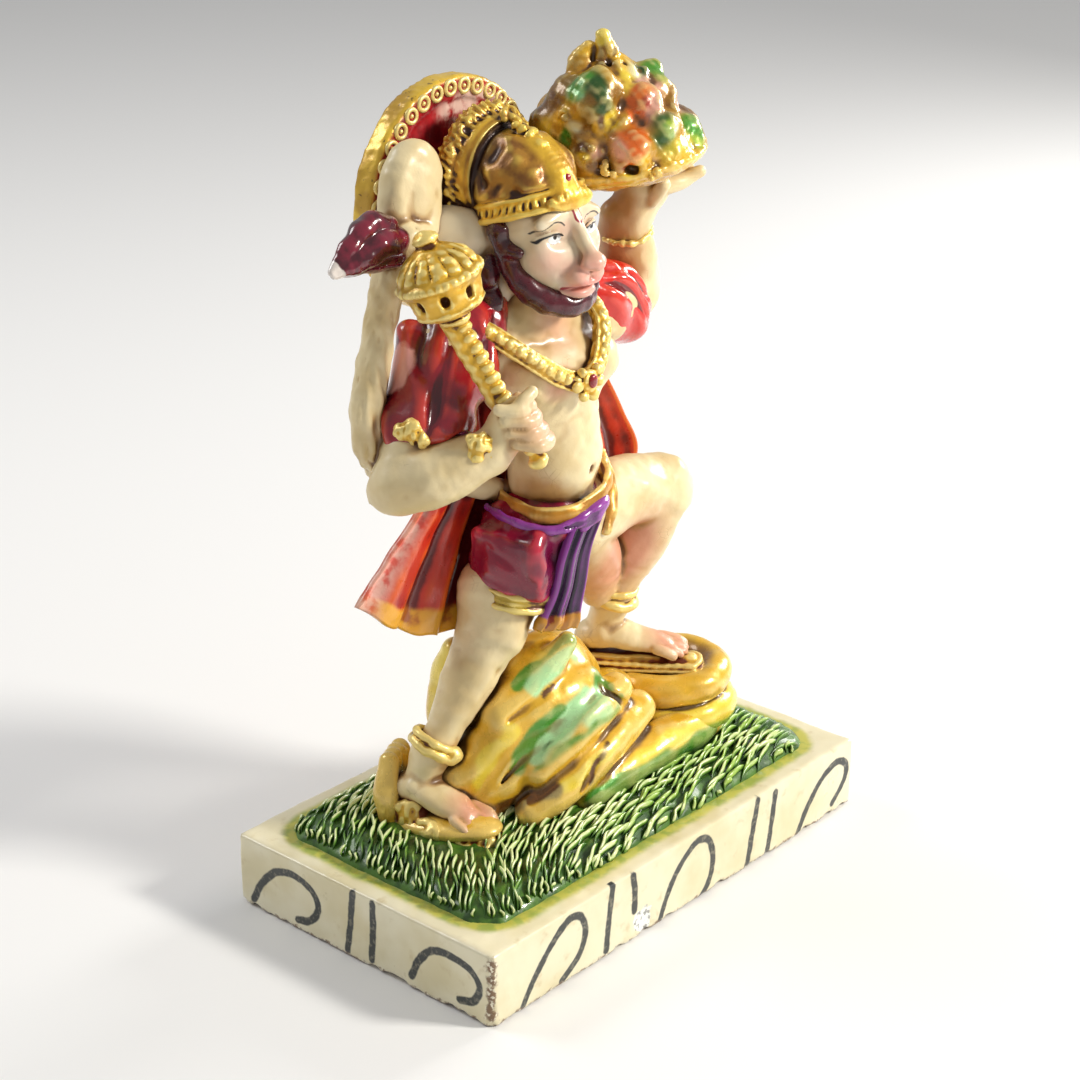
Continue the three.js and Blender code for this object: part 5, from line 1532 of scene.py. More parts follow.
def jewellery():
    """The necklace and its pendant, and the gold knobs and rings on arms and ankles"""
    chain = [
        (-22.6, -4, 97.6), (-18.6, -7.4, 93.8), (-14.6, -9.6, 90.4), (-10.4, -11, 87.4), (-6, -11.6, 86),
        (-2, -11.4, 87.4), (0.8, -10.2, 90.6), (3, -8.4, 94), (3.6, -6, 96.6),
    ]
    ways = np.gradient(np.array(chain), axis=0)[:, (0, 2)]
    ways = columns(-ways[:, 1], ways[:, 0]) / np.linalg.norm(ways, axis=1)[:, None]
    shift = np.insert(ways, 1, 0.12, axis=1)
    rows = beads_along("necklace", [chain[:5], chain[4:]], 2.05, 0.95, 1.0, GOLD, 3)
    band = Clay((-27, -15, 78), (8, 0, 102), 0.26)
    band.bar(0.2, *[(*(np.array(p) + (0, 1.1, 0)), 1.5) for p in chain])
    for edge, thick in ((1.5, 0.3), (-1.5, 0.36)):
        band.bar(0.15, *[(*(np.array(p) + s * edge + (0, 0.5, 0)), thick) for p, s in zip(chain, shift)])
    band.lump(0.3, (-5.6, -12, 86), (2.1, 1.1, 2.2))
    for x, z, radius in (
        (-8.6, 85.8, 1.15), (-3.4, 87.6, 0.95), (-2.9, 85.6, 1.15), (-4.4, 83.4, 1.25), (-7, 83.6, 1),
        (-7.4, 88, 0.8)
    ):
        band.lump(0.2, (x, -12, z), (radius, 0.95, radius))
    settle(
        band.cast("necklace_band", rippled((1.4, 0.08, 121))), "gold_paint",
        gold_paint("band_paint", (0.72, 0.4, 0.03), (0.1, 0.03, 0.006))
    )
    stones = Clay((-9, -15, 83), (-2, -10, 90), 0.2)
    stones.lump(0.1, (-5.7, -13.1, 86.3), (1.05, 0.55, 1.3))
    settle(stones.cast("pendant_gem", shades=False), "cloth_paint", GEM)
    knobs = Clay((-47, -17, 71), (30, 10, 107), 0.3)
    knobs.hoop(0.2, (23.6, 4.2, 103.4), 4.5, 0.55, (-3, -2, 14))
    clusters = [
        ((-33.4, -12.4, 82), (2.3, 1.5, 2.5)), ((-34.9, -11.8, 83.2), (1.2, 1.2, 1.5)),
        ((-32.4, -13.2, 80), (1.3, 1.2, 1.5)),
        ((-31.6, -13.2, 82.6), (1.1, 1.1, 1.3)), ((-34.8, -12.2, 80.6), (1.2, 1.1, 1.3)),
        ((-39.3, -2.4, 83.8), (1.6, 1.7, 2.5)),
        ((-40.4, -0.6, 83.6), (1.2, 1.3, 1.6)), ((-39, -4.2, 82.6), (1.1, 1.2, 1.5)),
    ]
    for place, radii in clusters:
        knobs.lump(0.5, place, radii, (0, -12, 0))
    settle(knobs.cast("arm_knobs", rippled((1.5, 0.16, 122))), "gold_paint", GOLD)
    anklets = Clay((-36, -3, 12), (29, 13, 36), 0.34)
    anklets.hoop(0.3, (-27.8, 5.8, 16.8), 3.95, 1.05, (13, -6, 22))
    anklets.hoop(0.3, (-27.3, 5.5, 18.6), 3.95, 0.7, (13, -6, 22))
    anklets.lump(0.6, (-26.6, 1.6, 16.2), (2, 1.4, 1.6))
    anklets.hoop(0.3, (20.6, 3.8, 31.2), 4.1, 1.1, (3, -4, 22))
    anklets.hoop(0.3, (20.9, 3.6, 33.4), 4.05, 0.8, (3, -4, 22))
    settle(anklets.cast("anklets", rippled((3, 0.12, 123))), "gold_paint", GOLD)
    surroundings.splat(rows)
    settle(rows, "gold_paint", rounds=3)


# ---- mountain, rock and turf

COLOURS = {
    "gold": (0.76, 0.44, 0.025),
    "ochre": (0.5, 0.26, 0.018),
    "bronze": (0.27, 0.13, 0.014),
    "yellow": (0.86, 0.64, 0.05),
    "cream": (0.86, 0.8, 0.46),
    "mint": (0.22, 0.56, 0.22),
    "pale": (0.42, 0.74, 0.36),
    "green": (0.06, 0.27, 0.02),
    "dark": (0.022, 0.085, 0.014),
    "lime": (0.36, 0.5, 0.05),
    "orange": (0.74, 0.13, 0.012),
    "red": (0.3, 0.01, 0.006),
    "pink": (0.8, 0.42, 0.32),
    "brown": (0.12, 0.045, 0.008),
}


def tinted(places, dabs, sharp, warp, seed):
    """A colour at each place, from the nearest dabs of paint: by colour, each x, y, z and size"""
    moved = places + columns(*[ripple(places, 5, seed + k) for k in range(3)]) * warp
    total, weights = np.zeros((len(places), 3)), np.zeros(len(places))
    for name, spots in dabs.items():
        for *place, size in spots:
            weight = (np.linalg.norm(moved - place, axis=1) / size + 0.05) ** -sharp
            total += weight[:, None] * np.array(COLOURS[name])
            weights += weight
    return total / weights[:, None]


def dabbed_paint(name):
    """Paint whose colours are laid on by place, with brown wash and painted shade in its hollows and a painted
    highlight on what stands proud
    """
    paint = Paint(name)
    proud = paint.value("crest")
    wash_and_shade_mask = paint.value("nook") * 1.15 - proud * 0.2 + (paint.grain(5) - 0.5) * 0.22
    colour = paint.layers(
        paint.colour("tint"),
        ((0.42, 0.19, 0.015), paint.grain(11, 2, 2).rise(0.46, 0.76) * 0.25),
        # brown wash and painted shade in hollows
        ((0.27, 0.1, 0.012), wash_and_shade_mask.rise(0.3, 0.75) * 0.6),
        # painted highlight on what stands proud
        ((1, 0.88, 0.38), (proud + paint.grain(6, 2, 7) * 0.3).rise(0.5, 1.8) * 0.3),
        # dark brown wash and painted shade in the deepest hollows
        ((0.05, 0.022, 0.004), wash_and_shade_mask.rise(0.52, 0.98) * 0.9),
    )
    rough = 0.18 + paint.grain(2.4) * 0.2
    return paint.finish(colour, rough, paint.grain(2, 4, 5), coat=(0.45, 0.12), metal=0.15)


TRAY = np.array((20, 2, 115))


def mountain():
    """The tray and the cone of domes, drapes and fins that leans with it, soft as if melted"""
    axis = unit((-0.1, 0.1, 1))
    dish = [(-0.2, 8.6), (0, 9.4), (0.8, 11.6), (2.4, 14.4), (3.1, 15.3), (3.7, 15.6), (4.2, 15.3), (4.4, 14.6)]
    clay = Clay((2, -16, 112), (38, 20, 143.5), 0.36)
    clay.add(spun(TRAY, axis, dish), 0.2)
    cone = [(3, 14.2), (6, 13.4), (9, 12), (12, 10.2), (15, 8.2), (18, 6), (21, 4), (22, 3)]
    clay.add(spun(TRAY, unit((-4.3, 1.3, 25)), cone), 0.8)
    domes = [
        ((9.8, 0.6, 129.4), (4.5, 4.9, 7), (8, 14, 0)), ((10.4, 6.4, 128.2), (4.2, 4.6, 6)),
        ((7.8, 9.6, 124.4), (3.2, 3.4, 4.4), (0, 20, 0)), ((7.6, 5.2, 124.8), (3, 3.4, 4.4), (0, 12, 0)),
        ((16.4, -4.4, 128.2), (3.4, 3.4, 5.6), (14, -8, 0)), ((11.4, -6.6, 122.4), (4.7, 4.2, 4.2), (0, 0, 30)),
        ((17.6, -8.6, 125.2), (3.3, 3.3, 3.6), (6, 0, 0)), ((18.6, -9, 121.4), (4.6, 3, 2.6), (0, 0, 8)),
        ((25.6, -7.4, 123.2), (3, 3, 3.4)), ((24.2, 0, 133), (2.6, 2.6, 2.7)),
        ((23, -3.2, 129.2), (3.2, 3, 4.2), (0, -12, 0)), ((6.6, -0.8, 121.8), (2.6, 3, 2.8)),
        ((29.2, -3.6, 122.6), (3.6, 3.8, 3.8)), ((28.4, 3.8, 125.2), (4.2, 4.6, 5)),
        ((22.6, 9.4, 126.8), (4.6, 4.4, 5.8)), ((14, 11.6, 124.6), (4.8, 4.4, 5.6)),
        ((29, 9, 121.6), (4.2, 4, 4)), ((18.4, 8.6, 132.2), (3.6, 3.6, 4.8)),
    ]
    for place, radii, *turn in domes:
        clay.lump(2.4, place, radii, *turn)
    fins = [
        [(12.8, 6.4, 130, 2.8), (12.9, 6.2, 136, 1.9), (13.7, 5.2, 139, 0.9)],
        [(16.6, 3.2, 130, 3.6), (16.2, 3, 136.6, 2.2), (15.7, 3.3, 140.6, 1.15)],
    ]
    for fin in fins:
        clay.bar(0.5, *fin, wide=1.15, broad=(1, -1, 0))
    ridges = [
        [(15.2, -0.2, 136, 0.7), (14.9, -2.8, 132.4, 0.95), (12.9, -4.6, 129, 0.95), (9.8, -5, 126, 0.8)],
        [
            (20.8, -1.8, 134.4, 0.8), (18.2, -4.6, 132, 0.7), (16.8, -8, 129.6, 0.9), (14, -8.4, 126.2, 0.9),
            (9, -6.2, 124.6, 0.8)
        ],
        [(24.6, -4.6, 130.6, 0.9), (21.6, -7.4, 128.8, 0.8), (20.6, -10, 124.6, 0.8), (20, -10.8, 121.4, 0.7)],
        [(6.2, 3.4, 128.6, 0.9), (5.6, 1.4, 125.6, 0.8), (5.8, -2.6, 121.6, 0.8)],
        [(28, -4.4, 125.8, 0.8), (23.4, -9.6, 121.4, 0.8)],
    ]
    for ridge in ridges:
        clay.bar(0.9, *ridge)
    clay.groove(0.5, (14.4, 3, 140.4, 0.2), (14.4, 1.2, 136.6, 0.5), (13.6, 0.6, 132.4, 0.4))
    clay.groove(0.5, (16.6, 0.2, 138.4, 0.2), (17, -0.4, 135.6, 0.45))
    clay.dent(1, (8.4, -9.4, 120), (2.4, 1.2, 0.9), (0, 0, 30))
    draw = np.random.default_rng(13)
    for place in ((5.4, -2, 122.4), (6.4, -5.2, 120.4), (12.4, -11.2, 119.2), (6, 3.6, 128)):
        for _ in range(9):
            clay.lump(0.2, np.array(place) + draw.normal(0, 0.75, 3), draw.uniform(0.35, 0.7, 3))

    def relief(places):
        rim = held(1 - np.abs((places - TRAY) @ axis - 3.6) / 1.2)
        return ripple(places, 4.4, 131) * 0.2 * (1 - rim) + ripple(places, 1.8, 132) * 0.06

    piece = clay.cast("mountain", relief)
    dabs = {
        "gold": [(12.8, 4.5, 138.2, 2), (14.9, 1.7, 138.3, 1.2), (16.8, 1, 136.8, 1.6),
            (6.8, -2.4, 126.9, 1.5), (5, 4.4, 128, 1.8), (8.5, -2.6, 125.9, 1.4), (10.5, -11, 121.5, 1.4),
            (14, -9.3, 123.7, 1.2), (5.5, -3.6, 117.9, 2.4), (28, 6, 126, 4.5), (21, 8, 135, 4),
            (33, 0, 118.4, 4), (8, -10, 117.2, 3.4), (20, -13.6, 117.4, 4)],
        "ochre": [(12.3, 4.5, 136.1, 2), (5.4, 0.6, 128.9, 1.8), (4.3, 4.3, 126.2, 1.6),
            (11.5, -2.4, 134.3, 1.8), (11.4, -5.2, 128.1, 1.3), (12, -3.8, 126.1, 1.4),
            (11.8, -10.2, 123, 1.5), (7.7, -3.4, 119.4, 1.6), (20.4, -11.4, 125, 1.2),
            (5.9, -0.3, 117.9, 2.6), (13, 15, 126, 4), (20, 2, 115, 9), (6, 8, 119, 5)],
        "brown": [(14.6, 4.1, 137.7, 1.2), (13.8, 2, 135.9, 1.5), (16.2, 1.3, 137.8, 1.1),
            (7.6, -3, 127.8, 1.6), (6.9, 6.1, 129.7, 2.2), (7.8, 9, 126.4, 2.4), (28, -3.7, 125.8, 1.8),
            (8.7, -3.3, 122.8, 1.4), (8.3, -4.6, 119.5, 1.6), (4.7, -1.3, 123.5, 1.4)],
        "yellow": [(14.7, 2.6, 140.4, 1.4), (6.2, 3.8, 128.5, 1.2), (5, 7, 125, 1.6),
            (15.8, -1.8, 133.9, 1.3), (14.2, -3.6, 131.8, 1.3), (13.3, -2.7, 129.6, 1.3),
            (8.8, -3.6, 128.3, 1.4), (8.6, -8.9, 119.5, 1.3), (18.5, -10.6, 121.5, 1.4),
            (22.6, -9.4, 121.5, 1.4), (4.5, -1.9, 122.1, 0.9)],
        "bronze": [(14.4, 2.5, 138.3, 1.4), (7.1, -1.7, 131.5, 1.4), (6.2, -1.2, 127.7, 1.7),
            (7.7, 5.1, 131.6, 2.2), (11.2, -3.6, 132.3, 1.8), (22.3, -6.1, 128.9, 1.8),
            (5.8, 0.1, 124.4, 1.6), (5.6, -2.6, 120.3, 1.4), (20, 12, 127, 5)],
        "green": [(7.4, 2.3, 132.4, 1.8), (7.8, 0.6, 134.2, 1.4), (23.2, -1.8, 133.6, 1.6),
            (15.8, -11, 125.9, 1.3), (24.4, -9.5, 125.1, 1.6), (26.4, -9.4, 124.3, 1.5),
            (4.6, 2.8, 124.8, 1.3), (30, 10, 124, 3)],
        "mint": [(6.7, 0.5, 132.5, 1.1)],
        "dark": [(8, -1.3, 133.8, 1.5), (8, -2.5, 132.4, 1.6), (7.6, -3.4, 129.8, 1.6),
            (20.1, -2, 134.4, 1.4), (16, -9.6, 127.3, 1.4), (14.7, -9.9, 124.3, 1.4), (5.2, 5, 123.4, 1.5)],
        "cream": [(5.4, 1, 126.9, 1.2), (17.8, -1.8, 134.2, 1.2), (17.4, -11.6, 126.1, 0.8)],
        "orange": [(14.7, -5.2, 132.3, 1.3), (13.4, -5.5, 130.3, 1.5), (12.3, -6, 128.4, 1.5),
            (13.9, -6.7, 129.1, 1.3), (11.2, -9, 125.2, 1.6), (9.5, -9.7, 123.4, 1.8),
            (9.1, -7.9, 125.1, 1.3), (8.1, -9.3, 121, 1.2)],
        "red": [(14.8, -7.6, 130.7, 0.9), (7.7, -7.5, 120.8, 1.2)],
        "pink": [(17.2, -3.2, 132.5, 1.3), (20, -3.7, 132.5, 1.6), (14.8, -7.6, 128.8, 1.1),
            (14, -6.7, 126.6, 1), (16.3, -8, 130.5, 1.1), (24.1, -6.3, 128.8, 1.2), (10.5, -3.9, 124.2, 1.2),
            (8.4, -1.9, 123.9, 1.3), (8.1, -7.6, 123.3, 1.4), (6.2, -3, 122.2, 1)],
        "lime": [(22.4, -3.2, 132.6, 1.2), (16.4, -10.9, 126.8, 1), (16.6, -10, 121.7, 1.3),
            (24.6, -10.2, 122.6, 1.3)],
    }
    give(piece, "tint", tinted(places_of(piece), dabs, 5.5, 0.3, 133))
    settle(piece, "gold_paint", dabbed_paint("mountain_paint"))


def rock():
    """A ridge that falls from under the sash to the right foot, in smooth facets"""
    clay = Clay((-42, -20, -1), (44, 22, 42), 0.42)
    ribs = [
        [(-3.6, -5.5, 33, 1.8), (-9, -3.5, 28, 3.2), (-17, -1, 22, 3.8)],
        [(0, -6, 23, 4.2), (-8, -4.6, 22.4, 4.8), (-15.5, -1.6, 19.5, 4.8), (-23.5, 2, 10, 4)],
        [(-4, -7, 15, 5), (-13, -4, 13.5, 5.4), (-22, 0, 5, 4.4)],
        [(6, -9, 20.6, 3.4), (-2, -10.5, 19.6, 3.8), (-8, -10, 16.4, 3.8), (-14.5, -8.4, 11.6, 3)],
        [(12, -9.5, 15, 3.6), (0, -12, 12.6, 3.8), (-9, -11.5, 9, 3.8), (-17, -9, 4.6, 3.2)],
        [(39, -8, 4, 3), (28, -11.5, 6, 4.2), (14, -12.4, 7, 4.4), (-4, -11.6, 4.4, 4)],
        [(16, 8, 15, 4.5), (2, 8, 24, 5), (-10, 8.5, 27, 5), (-16.4, 10, 27, 4.4)],
        [(-17, 10, 31, 2.8), (-18, 11, 23, 3.8), (-16.6, 11, 12, 4.8)],
    ]
    for rib in ribs:
        clay.bar(1.6, *rib)
    for place, radii, *turn in (
        ((-3, 1, 14), (16, 9.5, 19), (0, -8, 4)), ((-13.5, 4, 8), (13, 8.5, 12.5), (0, -24, 0)),
        ((13, 2, 9), (13, 10, 9.5)), ((20, 8.5, 11.4), (7.5, 6.5, 7.6)),
        ((-28.5, 3, 3.4), (6.6, 12.8, 2.6), (-6, 0, 8)),
    ):
        clay.lump(1.6, place, radii, *turn)
    for k in range(4):
        x, y = -33.6 + 1.9 * k, 12.2 + 0.8 * k
        clay.bar(
            0.4, (x - 0.6, y - 1.6, 1, 2), (x - 0.4, y - 0.4, 8, 2.1), (x + 2, y + 1.2, 12.8, 1.6), wide=1.2,
            broad=(0, 1, 0)
        )
    grooves = [
        [(-5, -10.6, 30.4, 0.3), (-11.2, -7.6, 26.6, 0.6), (-18.4, -4.6, 22.4, 0.3)],
        [(-1, -11.6, 24.2, 0.4), (-8.6, -11.2, 20.8, 0.6), (-16.6, -7.6, 15.6, 0.5), (-21, -4, 9.6, 0.4)],
        [(-3.4, -15.2, 17.6, 0.3), (-11.6, -13.6, 13, 0.5), (-18.4, -9.6, 7.6, 0.3)],
        [(-4.6, -16, 15.4, 0.2), (-6.6, -15.6, 12.4, 0.9), (-9.4, -14.8, 7.8, 0.3)],
        [(1.8, -9.4, 29.8, 0.4), (1.2, -10.4, 26.4, 1), (1.8, -11.8, 22.4, 0.8), (6.4, -13.2, 18.4, 0.4)],
    ]
    for groove in grooves:
        clay.groove(1.4, *groove)
    clay.level(0.2)
    relief = rippled((9, 0.2, 141), (4.2, 0.05, 142))
    piece = clay.cast("rock", relief)
    streaks = [
        ([(-19.9, 11.7, 30), (-20.8, 10, 25.6), (-21, 9, 18)], 3.6, "yellow"),
        ([(-33.4, 15.2, 12.9), (-34.7, 13, 7), (-31.9, 4.1, 5.6)], 3.6, "gold"),
        ([(-15.7, -3.6, 33), (-6, -4, 34.6), (0, -4, 34)], 3, "yellow"),
        (
            [(-2.1, -8.7, 26.4), (-10.6, -6.3, 26), (-18.3, -4.2, 23), (-21.9, -0.1, 18.6), (-25, 1.2, 14)], 3.2,
            "gold"
        ),
        ([(-18.4, -5.2, 20.2), (-22.7, -2.5, 15), (-23.8, -1.8, 11)], 1.6, "yellow"),
        ([(-12.4, -5.3, 27.4), (-8.2, -6.6, 29.8), (-3, -6.8, 31), (0.6, -6.6, 29.6)], 2.2, "pale"),
        ([(-14.8, -2.8, 27.4), (-10.4, -4.6, 31.8), (-5.6, -6, 34.4), (-2, -7.4, 34)], 1.2, "green"),
        ([(-3, -8.6, 31.4), (0.8, -8.8, 32.4), (2.6, -8.8, 30), (2, -9.4, 26), (1, -9.8, 23.4)], 2.2, "green"),
        ([(2.6, -9.6, 28), (2.2, -10.2, 24.4)], 0.8, "dark"),
        ([(-4.4, -8.3, 27.9), (-11.6, -7.2, 25.2)], 0.5, "brown"),
        ([(-0.4, -11.4, 24), (-1.6, -12.2, 22.4), (-3, -13.2, 20.6), (-5.6, -12.6, 20)], 2.2, "pale"),
        ([(-3.7, -10.3, 23.2), (-7.8, -10.2, 21), (-11.2, -9.6, 18.2), (-14.6, -8.4, 15.6)], 2.5, "pale"),
        (
            [(3.4, -13, 20.6), (-0.6, -14.4, 19.6), (-6.4, -13.6, 18.2), (-11.4, -11.8, 15.8), (-15.4, -9.6, 12.6)],
            1.6, "green"
        ),
        ([(-9.6, -8.9, 22.6), (-13.7, -7.3, 19.4), (-16.6, -6.2, 15.8), (-18, -6.3, 12.8)], 1.5, "green"),
        ([(-12.6, -9.8, 16.4), (-16, -8.2, 13.2)], 0.8, "dark"),
        ([(3.7, -14.2, 17.4), (-6.5, -14, 15.6), (-13.2, -12.6, 12.6), (-17.2, -9.6, 9.6)], 2.6, "gold"),
        ([(-1.4, -14.8, 14.4), (-8, -14.4, 11.4), (-12.6, -12.6, 9.4)], 1.5, "yellow"),
        ([(17.2, -13.1, 12.6), (8.2, -13.5, 12.6), (-1.2, -15.4, 12)], 2, "gold"),
        ([(28, -14.2, 8.4), (13.6, -16, 9.2), (3.2, -16.2, 8.8)], 1.9, "yellow"),
        ([(28, -16, 5), (13.8, -16.6, 5.4), (1.7, -16, 5.4), (-5.8, -14.8, 4.6)], 2.5, "green"),
        ([(-2.7, -14.6, 15.6), (-5.6, -15.4, 12.5), (-8.4, -15.6, 8.8)], 0.6, "brown"),
        ([(-14.2, -11.8, 8.6), (-17.7, -8.2, 6.5), (-21.6, -5.3, 5.3)], 1.8, "brown"),
    ]
    give(piece, "tint", streaked(places_of(piece), streaks, "gold", 143))
    settle(piece, "rock_paint", dabbed_paint("rock_paint"), rounds=14)
    return clay


def footring():
    """The two stacked rings under the raised foot and the floor inside them"""
    x, y = 29.8, -2.8
    clay = Clay((14, -19, 0), (46, 13, 22), 0.38)
    clay.hoop(0.3, (x + 0.5, y - 0.2, 8.2), 10, 3.5, (0.03, 0, 1))
    clay.hoop(0.4, (x, y, 14.3), 9.6, 3.2, (-0.04, 0.03, 1))
    clay.add(spun((x, y, 0), (0, 0, 1), [(0, 11.4), (4, 11.2), (8, 10.6), (15.4, 9.6)]), 0.6)
    clay.cut(ring((x + 0.2, y - 0.2, 11.3), 13.2, 0.3, (0, 0, 1)), 0.4)
    clay.level(0.2)

    relief = rippled((8, 0.16, 151), (3.4, 0.05, 152))
    piece = clay.cast("footring", relief)
    turns = np.linspace(0, 6.28, 16)
    streaks = [
        ([(x + radius * math.cos(a), y + radius * math.sin(a), z) for a in turns], half, colour)
        for radius, z, half, colour in ((9.8, 8.4, 5, "yellow"), (12.6, 5.6, 2.4, "lime"), (11, 15.6, 3.4, "gold"))
    ]
    give(piece, "tint", streaked(places_of(piece), streaks, "bronze", 153))
    settle(piece, "rock_paint", dabbed_paint("footring_paint"), rounds=8)


def sandals():
    """The ribbed sandal under the left foot and the ragged one under the right"""
    clay = Clay((-38, -14, 1), (37, 16, 23), 0.36)
    clay.bar(
        0.5, (18.2, 8.6, 17.9, 2.4), (24, 0, 17.5, 2.4), (30.2, -8.6, 17.2, 2.2), wide=1.8, broad=(0.85, 0.55, 0)
    )
    clay.bar(0.6, (-30.2, 12, 3.8, 2.2), (-29.4, 2, 2.8, 2.2), (-27.6, -8.4, 2, 2), wide=2.1)
    clay.lump(1, (-32.6, 7.2, 5.2), (2.2, 3.6, 2.6), (0, 0, 20))
    clay.lump(1, (-33.4, 1.2, 3.6), (1.6, 3.4, 2))

    def relief(places):
        ribs = np.sin(places[:, 2] * 5.2) * 0.2 * (places[:, 0] > 5)
        return ribs + ripple(places, 2.4, 161) * (0.08 + 0.14 * (places[:, 0] < 5))

    settle(
        clay.cast("sandals", relief), "gold_paint",
        gold_paint("sandal_paint", (0.72, 0.4, 0.04), (0.16, 0.03, 0.01), 0.12)
    )


TURF_LENGTH = HALF_LENGTH - 5.5
TURF_WIDTH = HALF_WIDTH - 5.5
TURF_RISE = 3.3
TURF_CORNER = 7
STROKE = 8  # mm, the length of a grass stroke before it is stretched


def turf_inset(x, y):
    """Distance outside the mound's edge in mm"""
    qx, qy = np.abs(x) - TURF_LENGTH + TURF_CORNER, np.abs(y) - TURF_WIDTH + TURF_CORNER
    inner = np.minimum(np.maximum(qx, qy), 0)
    return np.hypot(np.maximum(qx, 0), np.maximum(qy, 0)) + inner - TURF_CORNER


def turf_height(x, y):
    """The mound's height in mm, falling to nothing along a rounded oblong"""
    inset = -turf_inset(x, y)
    return TURF_RISE * held(inset / 4) ** 0.55 + np.where(inset < 0, inset * 0.6, 0)


def turf(stone):
    """The mound and the rows of grass combed towards its front left corner"""
    across, down = 170, 96
    lines = [np.linspace(-TURF_LENGTH, TURF_LENGTH, across + 1), np.linspace(-TURF_WIDTH, TURF_WIDTH, down + 1)]
    x, y = net(*lines)
    places = columns(x, y, np.maximum(turf_height(x, y), -0.6) - 0.35)
    places[:, 2] += ripple(places, 5, 171) * 0.2
    mound = sheet("turf", places, places * (1, 1, 0) - (0, 0, 1.2), across, down)
    paint = Paint("turf_paint")
    green = paint.mottled((0.075, 0.19, 0.018), (0.025, 0.08, 0.01), (3, 3), 0.4, 0.66)
    rough = 0.3 + paint.grain(1.5) * 0.2
    settle(mound, "turf_paint", paint.finish(green, rough, paint.grain(1.2, 4, 3), 0.15, coat=(0.3, 0.03)))
    strokes = laid_strokes(stone)
    material = grass_paint()
    for name, bend in (("grass_left", 1), ("grass_right", -1)):
        blades(name, bend, np.array(strokes[bend]), material)


def laid_strokes(stone):
    """Grass strokes bent either way, each with x, y, stretch, heading and thickness"""
    draw = np.random.default_rng(7)
    way, across = unit((-0.75, -0.66, 0)), unit((0.66, -0.75, 0))
    strokes = {1: [], -1: []}
    reach, between_rows, between_strokes = 62, 4.4, 1.18
    for row in np.arange(-reach, reach, between_rows):
        for k, column in enumerate(np.arange(-reach, reach, between_strokes)):
            spot = way * (row + (k % 4) * 1.3 + draw.uniform(-1.1, 1.1))
            x, y = (spot + across * (column + draw.uniform(-0.16, 0.16)))[:2]
            if turf_height(x, y) < 0.6:
                continue
            cell = np.round((np.array((x, y, 3.4)) - stone.low) / stone.cell).astype(int)
            inside = np.all(cell >= 0) and np.all(cell < stone.depth.shape)
            if inside and stone.depth[tuple(cell)] < -1.2:
                continue
            below_rings = math.hypot(x - 30.2, y + 3) < 11
            below_foot = abs(x + 29) < 4 and -8 < y < 15
            if below_rings or below_foot:
                continue
            near_left = math.radians(np.interp(y, (-26, -5, 26), (-131, -138, -156)))
            on_right = math.radians(-168)
            blend = float(smooth_step((x + 36) / 30))
            heading = near_left + blend * (on_right - near_left) + draw.normal(0, 0.09)
            long = draw.uniform(6.4, 9.6)
            steps = np.linspace(0.4, long, 14)
            clear = turf_height(x + steps * math.cos(heading), y + steps * math.sin(heading)) > 0.02
            long = steps[int(np.argmin(clear)) - 1] if not clear.all() else long
            if clear[0] and long > 1.4:
                bend = 1 if draw.random() < 0.5 else -1
                strokes[bend].append((x, y, long / STROKE, heading, draw.uniform(0.75, 1.15)))
    return strokes


def blades(name, bend, strokes, material):
    """Grass by Geometry Nodes: each stroke a thin ridge that swings, rises and tapers"""
    x, y, stretch, heading, thick = strokes.T
    ground = turf_height(x, y)
    run = columns(np.cos(heading), np.sin(heading)) * strokes[:, 2:3] * STROKE
    ahead = turf_height(x + run[:, 0], y + run[:, 1])
    pitch = np.arctan2(np.maximum(ahead, -0.1) - ground, stretch * STROKE)
    tree = Tree(name, Length=STROKE * MM, Bend=0.00024 * bend, Ridge=0.00027)
    line = tree.node("CurvePrimitiveLine", {"Direction": (1, 0, 0), "Length": "Length"}, mode="DIRECTION")
    fine = tree.node("ResampleCurve", {"Curve": line, "Count": 9}, mode="COUNT")
    share = tree.node("SplineParameter")
    arch = tree.math("SINE", tree.math("MULTIPLY", share, math.pi))
    wave = tree.math("SINE", tree.math("MULTIPLY", share, 6.6))
    lift, swing = tree.math("MULTIPLY", arch, 0.0003), tree.math("MULTIPLY", wave, "Bend")
    offset = tree.node("ShaderNodeCombineXYZ", {"Y": swing, "Z": lift})
    bent = tree.node("SetPosition", {"Geometry": fine, "Offset": offset})
    slim = tree.math("MULTIPLY_ADD", tree.math("POWER", arch, 0.35), 0.92, 0.08)
    profile = tree.node("CurvePrimitiveCircle", {"Resolution": 6, "Radius": "Ridge"})
    sides = {"Curve": bent, "Profile Curve": profile, "Scale": slim, "Fill Caps": True}
    tall = tree.node("Transform", {"Geometry": tree.node("CurveToMesh", sides), "Scale": (1, 1, 3)})
    turn = tree.node("InputNamedAttribute", {"Name": "turn"}, data_type="FLOAT_VECTOR")
    size = tree.node("InputNamedAttribute", {"Name": "size"}, data_type="FLOAT_VECTOR")
    tree.place(tall, "Geometry", material, Rotation=turn, Scale=size)
    piece = tree.lay(name, columns(x, y, ground - 0.32))
    store_vectors(piece, "turn", columns(x * 0, -pitch, heading))
    store_vectors(piece, "size", columns(stretch, np.ones(len(x)), thick))
    tree.run(piece)
    x, y, z = places_of(piece).T
    give(piece, "tip", np.clip(z - turf_height(x, y) + 0.25, 0, 1.3))
    settle(piece, "turf_paint", rounds=2)


